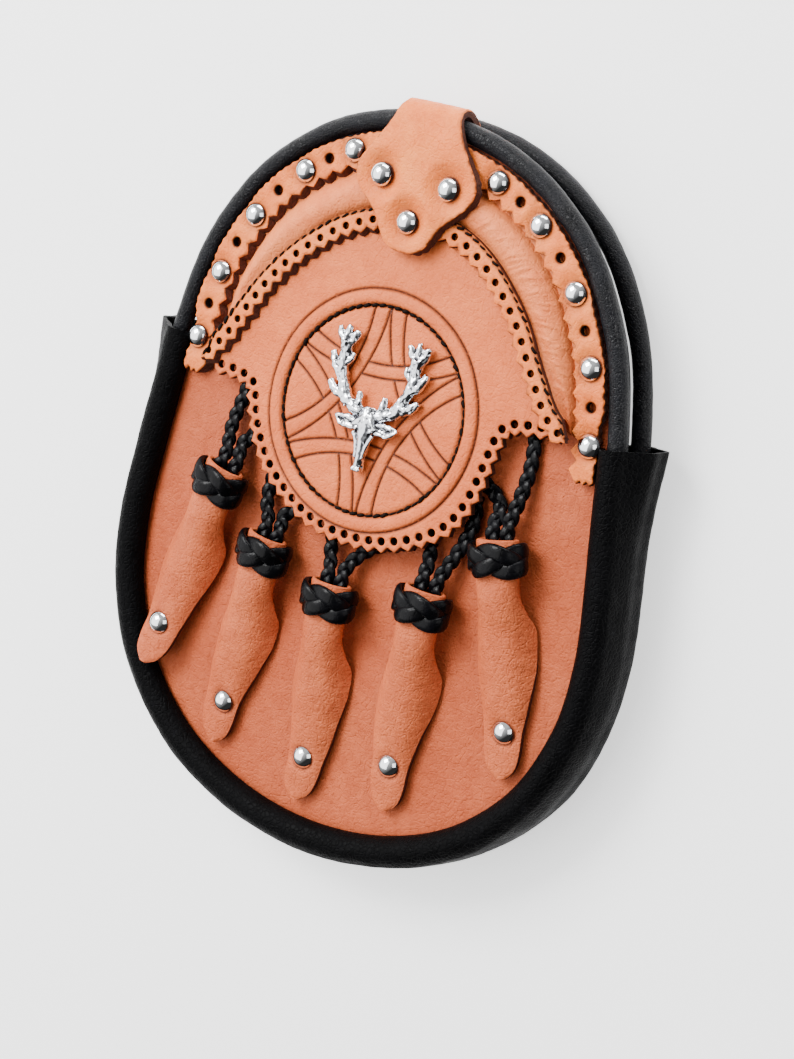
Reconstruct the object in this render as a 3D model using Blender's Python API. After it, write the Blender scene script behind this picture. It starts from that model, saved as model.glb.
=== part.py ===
"""A leather sporran pouch lying on its back.

+X is the wearer's left, as seen from the front to the right, +Y runs towards the pouch's top, and +Z
out of its face. The origin is at the middle of the pouch's outline, on the floor. Heights below are
counted from the front panel's outer face, and `lift` brings them to the floor.
"""

import math

import bmesh
import bpy
from mathutils import Matrix, Vector
from mathutils.geometry import tessellate_polygon

MM = 0.001
CLEAR = 0.3 * MM  # between pieces that touch

# Panels and their piped edge
PANEL_W = 161 * MM
PANEL_H = 215 * MM
PANEL_T = 2.4 * MM
PIPING_D = 6.2 * MM
PIPING_RISE = 1.2 * MM  # the piping's axis above the panel's face
MOUTH = 15 * MM  # from one piping's axis to the other's
# How far up (share of the height) and out (share of the width) the panel's outline runs, top to bottom
OUTLINE_SHARES = (
    (0.5, 0.0),
    (0.4726, 0.178),
    (0.395, 0.325),
    (0.286, 0.417),
    (0.171, 0.458),
    (0.069, 0.473),
    (-0.026, 0.488),
    (-0.127, 0.5),
    (-0.237, 0.487),
    (-0.345, 0.425),
    (-0.431, 0.312),
    (-0.483, 0.163),
    (-0.5, 0.0),
)
ROUND = 40  # points round the outline

# Gusset: one strip that wraps both pipings
GUSSET_T = 1.4 * MM
GUSSET_EASE = 0.8 * MM  # between the piping and the leather round it
GUSSET_TOP = 32 * MM  # its cut ends, above the outline's middle
GUSSET_SIDE = 1.6 * MM  # how far its wall stands out on the pouch's sides
GUSSET_FLARE = 5 * MM  # and how much further at its cut ends
FLARE_RUN = 45 * MM  # over this length

# Outer band, with rivets and punched holes between them
BAND_W = 8.6 * MM  # to the valleys between its teeth
BAND_T = 2.7 * MM
BAND_SEAT = 1.2 * MM  # its underside, above the crescent roll's margin
BAND_END = 22 * MM  # its ends, above the outline's middle
BAND_TUCK = 2.2 * MM  # how far it keeps from the outline beside the gusset
BAND_HOLE_D = 3 * MM
RIVET_IN = 4.8 * MM  # from the outline to the middles of rivets and holes
BAND_TOOTH = 5.4 * MM
BAND_TOOTH_DEPTH = 1.9 * MM
RIVET_D = 6.9 * MM
RIVET_H = 2.2 * MM
RIVET_SHARES = (0.05, 0.237, 0.463, 0.679, 0.899)  # of the way from the tab's side to the band's end

# Flap with the medallion, and the perforated band stitched over its upper edge
MEDALLION_Y = 24.3 * MM  # the medallion's centre, above the outline's middle
FLAP_T = 2.6 * MM
FLAP_TILT = math.radians(3.4)  # the tassels' cords lift its lower edge
FLAP_HINGE_Y = 79 * MM  # where it lies on the panel
LOBE_R = 41 * MM  # the row of holes round the medallion
LOBE_DOWN = 0.5 * MM  # that row's centre, below the line between the shoulders' ends
SHOULDER_X = 61 * MM
SHOULDER_RISE = 3.5 * MM
FLAP_HOLE_D = 2.5 * MM
FLAP_PITCH = 4.4 * MM
FLAP_EDGE = 3.5 * MM  # from the holes to the tips of the teeth
FLAP_TOOTH_DEPTH = 1.6 * MM
INNER_BAND_T = 2.2 * MM
INNER_BAND_OUT = 3.6 * MM  # from the holes to the stitched edge
INNER_BAND_IN = 3.4 * MM  # from the holes to the tips of the teeth
INNER_TOOTH_DEPTH = 1.6 * MM
INNER_HOLE_D = 2.2 * MM
INNER_PITCH = 4.75 * MM
ARCH_W = 128 * MM  # the row of holes is an arch this wide
ARCH_H = 53 * MM
ARCH_TOP = 81.8 * MM  # above the outline's middle
ARCH_SHARES = ((0.0, 0.0), (0.22, 0.0), (0.36, 0.5), (0.5, 1.0))  # Bezier points: across, down

# Padded crescent between the two bands
ROLL_MARGIN = 6 * MM  # its outer edge, inside the outline and under the band
ROLL_MARGIN_T = 0.6 * MM
ROLL_CROWN = 5.4 * MM
ROLL_END = 42 * MM  # above the outline's middle
ROLL_ARCH_START = 0.075  # share of the inner band's length
ROLL_FULL_W = 9 * MM  # where less of it shows, its crown is lower too
# How far across what shows of the crescent (share), and how high (share of its crown)
ROLL_SHARES = ((0.1, 0.5), (0.32, 0.88), (0.56, 1.0), (0.8, 0.86))

# Tab that closes the mouth
TAB_T = 2.6 * MM
TAB_W = 40.8 * MM
TAB_TIP_Y = 72.5 * MM
TAB_SEAT = 5.8 * MM
TAB_LEG = 20 * MM  # the stretch that lies inside the back panel
TAB_BEND = 20 * MM  # where it starts to bend, below the panel's top
# Up from the tip (share of the width) and out (share of the width)
TAB_SHARES = (
    (0.0, 0.05),
    (0.015, 0.11),
    (0.06, 0.175),
    (0.14, 0.225),
    (0.22, 0.27),
    (0.31, 0.365),
    (0.4, 0.46),
    (0.49, 0.5),
    (0.58, 0.492),
    (0.69, 0.424),
    (0.8, 0.353),
    (0.92, 0.285),
)
TAB_NECK = 0.245  # share of the width, on each side, where it passes over the edge
TAB_RIVETS = ((-0.28, 0.505), (0.28, 0.505), (0.0, 0.215))  # across and up from the tip, shares

# Tassels
CORD_D = 4.4 * MM
KNOT_W = 19.6 * MM
KNOT_H = 13.4 * MM
KNOT_L = 12 * MM
NECK_W = 13.6 * MM
NECK_H = 8 * MM
NECK_PROUD = 1.2 * MM  # the neck shows above the knot
LEAF_L = 66 * MM  # from the knot's middle to the tip
LEAF_W = 20 * MM
LEAF_T = 2.4 * MM
LEAF_RIVET = 0.79  # share of the leaf's length
# Along the leaf (share), half width (share of its width), underside, edge and crown (share of the neck's
# height above the floor of the tassel, which is the front panel)
LEAF_SHARES = (
    (0.16, 0.35, 0.40, 0.92, 1.36),
    (0.24, 0.42, 0.36, 0.66, 1.22),
    (0.33, 0.49, 0.36, 0.46, 1.06),
    (0.46, 0.50, 0.36, 0.38, 0.92),
    (0.64, 0.40, 0.26, 0.34, 0.73),
    (0.78, 0.315, 0.12, 0.36, 0.56),
    (0.88, 0.29, 0.08, 0.38, 0.50),
    (0.955, 0.22, 0.08, 0.38, 0.48),
    (1.0, 0.07, 0.10, 0.38, 0.46),
)
# Each tassel's knot (across, up from the outline's middle), its lean from straight down, and how far what
# lies under its tip lifts it
TASSELS = {
    "1": (-50 * MM, -9.5 * MM, -15.5, 4.8 * MM),
    "2": (-29.5 * MM, -26.5 * MM, -8, 0),
    "3": (-3.5 * MM, -34 * MM, -1, 0),
    "4": (28.5 * MM, -27 * MM, -3, 0),
    "5": (50 * MM, -6 * MM, 12.5, 0),
}
# The cords' routes, chosen by hand: x, y and height over the panel in mm, from under the flap to the knot
CORD_ROUTES = {
    "cord_1a": ((-46.6, 29.5, 1.6), (-48.4, 23, 1.8), (-50, 15, 2.6), (-51, 7, 4), (-50.3, -0.3, 5.5)),
    "cord_1b": ((-32.5, 14, 2), (-38, 10.5, 2.1), (-43.5, 6.4, 2.5), (-46, 2.4, 4.2), (-45.4, -1.7, 5.5)),
    "cord_2a": ((-31, 5.5, 2.3), (-33, -1, 2.5), (-34, -7.5, 2.9), (-33, -13, 4.2), (-30.8, -17.4, 5.5)),
    "cord_2b": ((-13, -3.5, 2.6), (-19, -8, 2.7), (-24, -12, 3), (-26.6, -15.4, 4.2), (-25.9, -18.1, 5.5)),
    "cord_3a": ((-7.8, -5.5, 2.6), (-8.4, -12, 2.7), (-8.4, -17.5, 3.2), (-7.5, -22, 3.9), (-6, -25.2, 5.4)),
    "cord_3b": ((19.5, -11, 2.6), (13.2, -13, 2.7), (6.4, -16, 3), (1.4, -20.6, 3.8), (-0.8, -25.2, 5.4)),
    "cord_4a": ((23, 2, 2.4), (24.4, -4.4, 2.6), (25.6, -10.5, 3), (26.4, -15, 4.1), (26.5, -18.1, 5.4)),
    "cord_4b": ((37, 8, 2.2), (38, 1, 2.5), (36.4, -6, 3.2), (33.8, -12.6, 4.2), (31.6, -18.4, 5.4)),
    "cord_5a": ((36.6, 13.5, 2), (40.6, 11.6, 2.1), (44.6, 9, 2.5), (46.4, 5.6, 4.1), (45.9, 2.1, 5.4)),
    "cord_5b": ((51, 34.5, 1.4), (51.8, 28, 1.6), (52.4, 20.5, 2.2), (52, 12, 4), (50.8, 3.2, 5.5)),
}

# Cast stag's head on the medallion, sizes from its middle: a common ornament of such pouches
BADGE_H = 42 * MM
BADGE_RELIEF = 3.2 * MM
HEAD_SHARES = (  # up the badge, half width and depth, shares of its height
    (-0.44, 0.03, 0.04),
    (-0.425, 0.052, 0.07),
    (-0.38, 0.048, 0.075),
    (-0.29, 0.055, 0.08),
    (-0.19, 0.088, 0.09),
    (-0.08, 0.118, 0.085),
    (0.0, 0.095, 0.07),
    (0.035, 0.04, 0.045),
)
BEAM_SHARES = (  # one antler's beam: across, up and radius, shares of the badge's height
    (0.09, -0.04, 0.04),
    (0.16, 0.01, 0.037),
    (0.235, 0.06, 0.036),
    (0.262, 0.165, 0.034),
    (0.305, 0.26, 0.034),
    (0.296, 0.36, 0.034),
    (0.3, 0.45, 0.038),
)
TINE_SHARES = (  # each tine and the ear: root, tip and root radius, shares of the badge's height
    ((0.105, -0.02), (0.105, 0.126), 0.03),
    ((0.245, 0.1), (0.372, 0.143), 0.03),
    ((0.3, 0.27), (0.396, 0.346), 0.03),
    ((0.3, 0.42), (0.374, 0.54), 0.033),
    ((0.298, 0.42), (0.29, 0.557), 0.033),
    ((0.296, 0.42), (0.208, 0.53), 0.033),
    ((0.1, -0.13), (0.262, -0.083), 0.042),
)

# Two strap loops on the back
LOOP_W = 16 * MM
LOOP_L = 50 * MM
LOOP_PAD = 12 * MM  # the length sewn down at each end
LOOP_T = 1.7 * MM
LOOP_GAP = 4.4 * MM  # room for a strap
LOOP_X = 42 * MM
LOOP_Y = 48 * MM

TAN = (0.74, 0.36, 0.2, 1)
BLACK = (0.012, 0.012, 0.014, 1)
STEEL = (0.8, 0.8, 0.82, 1)

PIPING_R = PIPING_D / 2
GUSSET_INNER_R = PIPING_R + GUSSET_EASE
GUSSET_OUTER_R = GUSSET_INNER_R + GUSSET_T
BACK_AXIS = PIPING_RISE - MOUTH  # the back piping's axis, counted from the front panel's face
BACK_FACE = BACK_AXIS + PIPING_RISE  # the back panel's outer face
FLOOR = BACK_AXIS - GUSSET_OUTER_R
FOLD_REACH = PIPING_D + 0.4 * MM + TAB_T
GUSSET_REACH = PIPING_R + GUSSET_OUTER_R
CENTRE_SHIFT = (GUSSET_REACH - FOLD_REACH) / 2  # brings the middle of the whole pouch to the origin


def clear_scene():
    for old in list(bpy.data.objects):
        bpy.data.objects.remove(old)


def material(name, colour, roughness, metallic=0.0):
    made = bpy.data.materials.new(name)
    made.use_nodes = True
    shader = made.node_tree.nodes["Principled BSDF"]
    shader.inputs["Base Color"].default_value = colour
    shader.inputs["Roughness"].default_value = roughness
    shader.inputs["Metallic"].default_value = metallic
    return made


def lift(x, y, height):
    """A point given from the outline's middle and the front panel's face, in the part's own frame."""
    return Vector((x, y + CENTRE_SHIFT, height - FLOOR))


# Plane curves


def smooth(points, closed=False, steps=12):
    """Points on a Catmull-Rom curve through the given ones."""
    last = len(points) - 1
    found = []
    for i in range(len(points) if closed else last):
        if closed:
            a, b, c, d = (points[(i + k) % len(points)] for k in (-1, 0, 1, 2))
        else:
            a, b, c, d = (points[min(max(i + k, 0), last)] for k in (-1, 0, 1, 2))
        for k in range(steps):
            t = k / steps
            bend = (2 * a - 5 * b + 4 * c - d) * t**2 + (3 * b - a - 3 * c + d) * t**3
            found.append(0.5 * (2 * b + (c - a) * t + bend))
    return found if closed else found + [points[-1]]


def lengths(points):
    """The distance along a line to each of its points."""
    found = [0.0]
    for a, b in zip(points, points[1:]):
        found.append(found[-1] + (b - a).length)
    return found


def at(points, share):
    """The point that lies this share of the way along a line."""
    along = lengths(points)
    wanted = min(max(share, 0), 1) * along[-1]
    for i in range(len(points) - 1):
        if along[i + 1] >= wanted:
            part = (wanted - along[i]) / max(along[i + 1] - along[i], 1e-12)
            return points[i].lerp(points[i + 1], part)
    return points[-1].copy()


def spaced(points, count):
    """This many points at even distances along a line, its ends included."""
    return [at(points, i / (count - 1)) for i in range(count)]


def beside(points, distances):
    """The line moved to its left by a distance at each point."""
    found = []
    for i, (point, distance) in enumerate(zip(points, distances)):
        ahead = points[min(i + 1, len(points) - 1)] - points[max(i - 1, 0)]
        found.append(point + Vector((-ahead.y, ahead.x)).normalized() * distance)
    return found


def pinked(points, pitch, depth, reach):
    """The line moved to its left by reach, cut into teeth that point outwards, one to each pitch."""
    teeth = max(round(lengths(points)[-1] / pitch), 2)
    line = spaced(points, 2 * teeth + 1)
    return beside(line, [reach - depth * (i % 2 == 0) for i in range(len(line))])


def ring(centre, diameter, sides=5):
    turns = [2 * math.pi * i / sides for i in range(sides)]
    return [centre + Vector((math.cos(a), math.sin(a))) * diameter / 2 for a in turns]


def mirrored(points):
    return [Vector((-p.x, p.y)) for p in reversed(points)]


RIGHT_SIDE = [Vector((PANEL_W * out, PANEL_H * up)) for up, out in OUTLINE_SHARES]
OUTLINE = smooth(RIGHT_SIDE[:-1] + mirrored(RIGHT_SIDE)[:-1], closed=True)


def rim(share, offset=0.0):
    """A point this share of the way round the outline, clockwise from the top, and this far outside it."""
    closed = OUTLINE + [OUTLINE[0]]
    here = at(closed, share % 1)
    step = at(closed, (share + 0.004) % 1) - at(closed, (share - 0.004) % 1)
    return here + Vector((-step.y, step.x)).normalized() * offset


def rim_share(height):
    """How far round the right side the outline comes down to this height."""
    low, high = 0.02, 0.5
    while high - low > 1e-5:
        middle = (low + high) / 2
        if rim(middle).y > height:
            low = middle
        else:
            high = middle
    return low


# Solids


def show(name, mesh, finish, place=None):
    made = bpy.data.objects.new(name, mesh)
    bpy.context.scene.collection.objects.link(made)
    mesh.materials.append(finish)
    if place is not None:
        made.matrix_world = place
    return made


def to_mesh(name, bm):
    bmesh.ops.recalc_face_normals(bm, faces=bm.faces)
    mesh = bpy.data.meshes.new(name)
    bm.to_mesh(mesh)
    bm.free()
    return mesh


def plate(name, outline, bottom, top, finish, holes=(), place=None):
    """A flat sheet between two heights over the front panel's face, with holes punched through it."""
    loops = [outline, *holes]
    bm = bmesh.new()
    lower = [[bm.verts.new(lift(p.x, p.y, bottom)) for p in loop] for loop in loops]
    upper = [[bm.verts.new(lift(p.x, p.y, top)) for p in loop] for loop in loops]
    below = [v for loop in lower for v in loop]
    above = [v for loop in upper for v in loop]
    for a, b, c in tessellate_polygon([[p.to_3d() for p in loop] for loop in loops]):
        bm.faces.new((above[a], above[b], above[c]))
        bm.faces.new((below[c], below[b], below[a]))
    for under, over in zip(lower, upper):
        for i in range(len(under)):
            bm.faces.new((under[i - 1], under[i], over[i], over[i - 1]))
    return show(name, to_mesh(name, bm), finish, place)


def loft(name, sections, finish, place=None):
    """A closed solid through rings of points, with its two ends capped."""
    bm = bmesh.new()
    rings = [[bm.verts.new(p) for p in section] for section in sections]
    for one, two in zip(rings, rings[1:]):
        for i in range(len(one)):
            bm.faces.new((one[i - 1], one[i], two[i], two[i - 1]))
    bm.faces.new(rings[0])
    bm.faces.new(reversed(rings[-1]))
    made = show(name, to_mesh(name, bm), finish, place)
    made.data.shade_smooth()
    made.data.set_sharp_from_angle(angle=math.radians(40))
    return made


def tube(name, points, radii, finish, closed=False):
    """A round cord or piping along the points."""
    curve = bpy.data.curves.new(name, "CURVE")
    curve.dimensions = "3D"
    curve.bevel_depth = max(radii)
    curve.bevel_resolution = 2
    curve.use_fill_caps = not closed
    spline = curve.splines.new("POLY")
    spline.points.add(len(points) - 1)
    spline.use_cyclic_u = closed
    for target, point, radius in zip(spline.points, points, radii):
        target.co = (*point, 1)
        target.radius = radius / curve.bevel_depth
    made = bpy.data.objects.new(name, curve)
    bpy.context.scene.collection.objects.link(made)
    curve.materials.append(finish)
    return made


def cap(name, place, finish, sides=10):
    """A domed rivet head standing on its place's XY plane."""
    rise = ((1.0, 0.0), (0.94, 0.45), (0.5, 0.95))
    sections = [
        [
            Vector((math.cos(a) * r * RIVET_D / 2, math.sin(a) * r * RIVET_D / 2, h * RIVET_H))
            for a in (2 * math.pi * i / sides for i in range(sides))
        ]
        for r, h in rise
    ]
    return loft(name, sections, finish, place)


# The pouch itself


def make_panels(tan, black):
    share = [i / ROUND for i in range(ROUND)]
    edge = [rim(s, -0.5 * CLEAR) for s in share]
    plate("front_panel", edge, -PANEL_T, 0, tan)
    plate("back_panel", edge, BACK_FACE, BACK_FACE + PANEL_T, black)


def make_pipings(black):
    for name, height in (("front_piping", PIPING_RISE), ("back_piping", BACK_AXIS)):
        line = [rim(i / ROUND, PIPING_R) for i in range(ROUND)]
        points = [lift(p.x, p.y, height) for p in line]
        tube(name, points, [PIPING_R] * ROUND, black, closed=True)


def gusset_profile(stand, flare, inset):
    """The gusset's outer or inner face as (outwards, height), from the front panel round to the back one."""
    radius = GUSSET_OUTER_R - inset
    turns = [math.radians(a) for a in (183, 138, 93, 48)]
    front = [(PIPING_R + radius * math.cos(a), PIPING_RISE + radius * math.sin(a)) for a in turns]
    back = [(PIPING_R + radius * math.cos(a), BACK_AXIS - radius * math.sin(a)) for a in reversed(turns)]
    side = PIPING_R + radius + stand
    wall = [(side + 0.8 * flare, PIPING_RISE - 0.2 * MOUTH), (side + 0.8 * flare, PIPING_RISE - 0.8 * MOUTH)]
    return front + wall + back


def make_gusset(black):
    end = rim_share(GUSSET_TOP)
    stations = sorted([end, 1 - end] + [i / ROUND for i in range(ROUND) if end < i / ROUND < 1 - end])
    around = lengths(OUTLINE + [OUTLINE[0]])[-1]
    sections = []
    for share in stations:
        base = rim(share)
        out = (rim(share, 1) - base).normalized()
        from_end = min(share - end, 1 - end - share) * around
        flare = GUSSET_FLARE * max(0, 1 - from_end / FLARE_RUN) ** 2
        stand = GUSSET_SIDE * out.x**2
        outer = gusset_profile(stand, flare, 0)
        inner = gusset_profile(stand, flare, GUSSET_T)
        section = []
        for across, height in outer + inner[::-1]:
            spot = base + out * across
            section.append(lift(spot.x, spot.y, height))
        sections.append(section)
    loft("gusset", sections, black)


# The bands, the crescent and the flap


def band_inner_line(end):
    return [rim(s, -BAND_W) for s in (end * (i / 40 * 2 - 1) for i in range(41))]


def make_outer_band(tan, steel):
    end = rim_share(BAND_END)
    beside_gusset = rim_share(GUSSET_TOP + 4 * MM)
    edge = []
    for share in sorted([-end, end, -beside_gusset, beside_gusset] + [
        i / ROUND for i in range(-ROUND, ROUND) if abs(i / ROUND) < end
    ]):
        edge.append(rim(share, -CLEAR if abs(share) < beside_gusset - 1e-4 else -BAND_TUCK))
    teeth = pinked(band_inner_line(end)[::-1], BAND_TOOTH, BAND_TOOTH_DEPTH, BAND_TOOTH_DEPTH)
    outline = edge + end_teeth(edge[-1], teeth[0])[1:-1] + teeth + end_teeth(teeth[-1], edge[0])[1:-1]
    middle = [rim(s, -RIVET_IN) for s in (end * i / 40 for i in range(41))]
    tab_side = 0.5 * TAB_W / lengths(middle)[-1]
    rivets = [tab_side + (1 - tab_side) * share for share in RIVET_SHARES]
    between = [(a + b) / 2 for a, b in zip(rivets, rivets[1:])]
    holes = []
    for share in between:
        spot = at(middle, share)
        holes += [ring(spot, BAND_HOLE_D), ring(Vector((-spot.x, spot.y)), BAND_HOLE_D)]
    plate("outer_band", outline, BAND_SEAT, BAND_SEAT + BAND_T, tan, holes)
    for number, share in enumerate(rivets, 1):
        spot = at(middle, share)
        for side, letter in ((-1, "l"), (1, "r")):
            seat = lift(side * spot.x, spot.y, BAND_SEAT + BAND_T + CLEAR)
            cap(f"band_rivet_{letter}{number}", Matrix.Translation(seat), steel)


def end_teeth(start, end, teeth=3):
    """A band's short end, pinked like its long edge."""
    depth = 0.8 * BAND_TOOTH_DEPTH
    return pinked([start, end], (end - start).length / teeth, depth, depth)


def arch_line(steps=24):
    """The inner band's row of holes, left end to right end."""
    a, b, c, d = (Vector((x * ARCH_W, ARCH_TOP - y * ARCH_H)) for x, y in ARCH_SHARES)
    right = []
    for i in range(steps + 1):
        t = i / steps
        right.append((1 - t) ** 3 * a + 3 * t * (1 - t) ** 2 * b + 3 * t**2 * (1 - t) * c + t**3 * d)
    return mirrored(right)[:-1] + right


def flap_place():
    """Tilts what lies on the flap about the line where the flap touches the panel."""
    hinge = lift(0, FLAP_HINGE_Y, CLEAR)
    return Matrix.Translation(hinge) @ Matrix.Rotation(-FLAP_TILT, 4, "X") @ Matrix.Translation(-hinge)


def flap_hole_line():
    """The flap's row of holes: left shoulder, round the medallion, right shoulder."""
    centre = Vector((0, MEDALLION_Y - LOBE_DOWN))
    ledge = SHOULDER_X - LOBE_R
    shoulder = [
        Vector((-SHOULDER_X, centre.y + SHOULDER_RISE)),
        Vector((-LOBE_R - 0.6 * ledge, centre.y + 0.8 * SHOULDER_RISE)),
        Vector((-LOBE_R - 0.25 * ledge, centre.y + 0.35 * SHOULDER_RISE)),
    ]
    turns = [math.radians(a) for a in range(190, 351, 10)]
    lobe = [centre + Vector((math.cos(a), math.sin(a))) * LOBE_R for a in turns]
    return smooth(shoulder + lobe + mirrored(shoulder))


def make_flap(tan):
    line = flap_hole_line()
    count = round(lengths(line)[-1] / FLAP_PITCH)
    stations = spaced(line, 2 * count + 1)
    reaches = [-(FLAP_EDGE - FLAP_TOOTH_DEPTH * (i % 2 == 0)) for i in range(len(stations))]
    teeth = beside(stations, reaches)
    upper = beside(spaced(arch_line(), 33), [-CLEAR] * 33)
    top = [p for p in upper if p.y > stations[0].y + 0.5 * FLAP_PITCH]
    holes = [ring(p, FLAP_HOLE_D) for p in stations[1::2]]
    plate("flap", teeth + top[::-1], CLEAR, CLEAR + FLAP_T, tan, holes, flap_place())


def make_inner_band(tan):
    line = arch_line()
    count = round(lengths(line)[-1] / INNER_PITCH)
    stations = spaced(line, 2 * count + 1)
    reaches = [-(INNER_BAND_IN - INNER_TOOTH_DEPTH * (i % 2 == 0)) for i in range(len(stations))]
    teeth = beside(stations, reaches)
    stitched = beside(spaced(line, 41), [INNER_BAND_OUT] * 41)
    holes = [ring(p, INNER_HOLE_D) for p in stations[1::2]]
    seat = FLAP_T + 2 * CLEAR
    plate("inner_band", teeth + stitched[::-1], seat, seat + INNER_BAND_T, tan, holes, flap_place())


def make_crescent_roll(tan):
    end = rim_share(ROLL_END)
    arch = spaced(arch_line(), 81)
    stitched = beside(arch, [INNER_BAND_OUT + CLEAR] * len(arch))
    tilt = flap_place()
    sections = []
    steps = 22
    for i in range(steps + 1):
        share = i / steps
        place = ROLL_ARCH_START + (1 - 2 * ROLL_ARCH_START) * share
        inner = at(arch, place)
        shown = at(stitched, place)
        outer = rim(end * (2 * share - 1), -ROLL_MARGIN)
        edge = rim(end * (2 * share - 1), -BAND_W - BAND_TOOTH_DEPTH - CLEAR)
        seat = (tilt @ lift(shown.x, shown.y, FLAP_T + CLEAR)).z + FLOOR
        under = (tilt @ lift(inner.x, inner.y, FLAP_T + CLEAR)).z + FLOOR
        crown = ROLL_CROWN * min(1, (shown - edge).length / ROLL_FULL_W)
        top = [(outer, CLEAR + ROLL_MARGIN_T), (edge, CLEAR + ROLL_MARGIN_T)]
        top += [(edge.lerp(shown, along), max(crown * rise, seat * along)) for along, rise in ROLL_SHARES]
        top += [(shown, seat), (inner, under)]
        section = [lift(p.x, p.y, h) for p, h in top]
        section += [lift(inner.x, inner.y, CLEAR), lift(outer.x, outer.y, CLEAR)]
        sections.append(section)
    loft("crescent_roll", sections, tan)


# The tab


def tab_path():
    """The tab's underside as (distance, point in the YZ plane), from its tip over the edge into the mouth."""
    top = 0.5 * PANEL_H
    tip = Vector((TAB_TIP_Y, TAB_SEAT))
    centre = Vector((top + PIPING_R, PIPING_RISE))
    radius = PIPING_R + 0.4 * MM
    inside = BACK_FACE + PANEL_T + CLEAR + TAB_T
    points = [
        tip,
        Vector((top - TAB_BEND, TAB_SEAT)),
        Vector((top - 0.4 * TAB_BEND, 0.5 * (TAB_SEAT + centre.y + radius))),
    ]
    points += [
        centre + Vector((math.cos(a), math.sin(a))) * radius
        for a in (math.radians(d) for d in (100, 60, 20, -20))
    ]
    points += [
        Vector((top + 0.58 * PIPING_D, 0.5 * (inside + PIPING_RISE - PIPING_R))),
        Vector((top, inside + 0.27 * TAB_T)),
        Vector((top - 0.25 * TAB_LEG, inside)),
        Vector((top - TAB_LEG, inside)),
    ]
    return points


def make_tab(tan, steel):
    path = smooth(tab_path(), steps=3)
    along = lengths(path)
    reach = [TAB_W * up for up, out in TAB_SHARES]
    stops = sorted(set([round(r, 6) for r in reach] + [round(a, 6) for a in along if a > reach[-1] + MM]))
    total = along[-1]
    fine = [at(path, s / total) for s in stops]
    outer = beside(fine, [TAB_T] * len(fine))
    sections = []
    for stop, under, over in zip(stops, fine, outer):
        half = TAB_W * TAB_NECK
        for (up_a, out_a), (up_b, out_b) in zip(TAB_SHARES, TAB_SHARES[1:]):
            if up_a * TAB_W - 1e-6 <= stop <= up_b * TAB_W + 1e-6:
                half = TAB_W * (out_a + (out_b - out_a) * (stop / TAB_W - up_a) / (up_b - up_a))
        corners = ((-half, under), (half, under), (half, over), (-half, over))
        sections.append([lift(x, p.x, p.y) for x, p in corners])
    loft("tab", sections, tan)
    for number, (across, up) in enumerate(TAB_RIVETS, 1):
        seat = lift(across * TAB_W, TAB_TIP_Y + up * TAB_W, TAB_SEAT + TAB_T + CLEAR)
        cap(f"tab_rivet_{number}", Matrix.Translation(seat), steel)


# Tassels


def tassel_place(x, y, lean):
    """The tassel's own frame: -Y along its leaf, +Z off the panel, origin under its knot."""
    return Matrix.Translation(lift(x, y, 0)) @ Matrix.Rotation(math.radians(lean), 4, "Z")


def oval(width, height, y, middle, sides):
    turns = [2 * math.pi * i / sides for i in range(sides)]
    return [Vector((math.cos(a) * width / 2, y, middle + math.sin(a) * height / 2)) for a in turns]


def make_knot(name, place, black):
    """An oval ring round the leaf's neck."""
    middle = CLEAR + KNOT_H / 2
    sides = 14
    rise = ((-0.5, 0.82), (-0.32, 0.97), (0, 1.0), (0.32, 0.97), (0.5, 0.82))
    bore_w = NECK_W + 2 * CLEAR
    bore_h = NECK_H + 2 * CLEAR
    loops = [oval(KNOT_W * s, KNOT_H * s, y * KNOT_L, middle, sides) for y, s in rise]
    loops += [oval(bore_w, bore_h, y * KNOT_L, middle, sides) for y in (0.5, -0.5)]
    bm = bmesh.new()
    rings = [[bm.verts.new(p) for p in loop] for loop in loops]
    for k, one in enumerate(rings):
        two = rings[(k + 1) % len(rings)]
        for i in range(sides):
            bm.faces.new((one[i - 1], one[i], two[i], two[i - 1]))
    show(name, to_mesh(name, bm), black, place)


def make_leaf(name, place, tip_lift, tan):
    """The leaf's rolled neck, which passes through the knot, and its blade."""
    middle = CLEAR + KNOT_H / 2
    turns = [math.radians(a) for a in (0, 36, 72, 108, 144, 180, 216, 252, 288, 324)]
    sections = []
    for y in (KNOT_L / 2 + NECK_PROUD, -KNOT_L / 2 - 0.5 * MM):
        sections.append(
            [Vector((math.cos(a) * NECK_W / 2, y, middle + math.sin(a) * NECK_H / 2)) for a in turns]
        )
    for along, out, under, edge, crown in LEAF_SHARES:
        half = LEAF_W * out
        raised = tip_lift * along**2
        floor = NECK_H * under + raised
        side = NECK_H * edge + raised
        top = NECK_H * crown + raised
        y = -LEAF_L * along
        low = max(side - LEAF_T, floor)
        sections.append([
            Vector((half, y, side)),
            Vector((0.72 * half, y, side + 0.7 * (top - side))),
            Vector((0.26 * half, y, top)),
            Vector((-0.26 * half, y, top)),
            Vector((-0.72 * half, y, side + 0.7 * (top - side))),
            Vector((-half, y, side)),
            Vector((-0.9 * half, y, low)),
            Vector((-0.34 * half, y, max(floor, top - LEAF_T - 0.8 * MM))),
            Vector((0.34 * half, y, max(floor, top - LEAF_T - 0.8 * MM))),
            Vector((0.9 * half, y, low)),
        ])
    loft(name, sections, tan, place)


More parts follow.
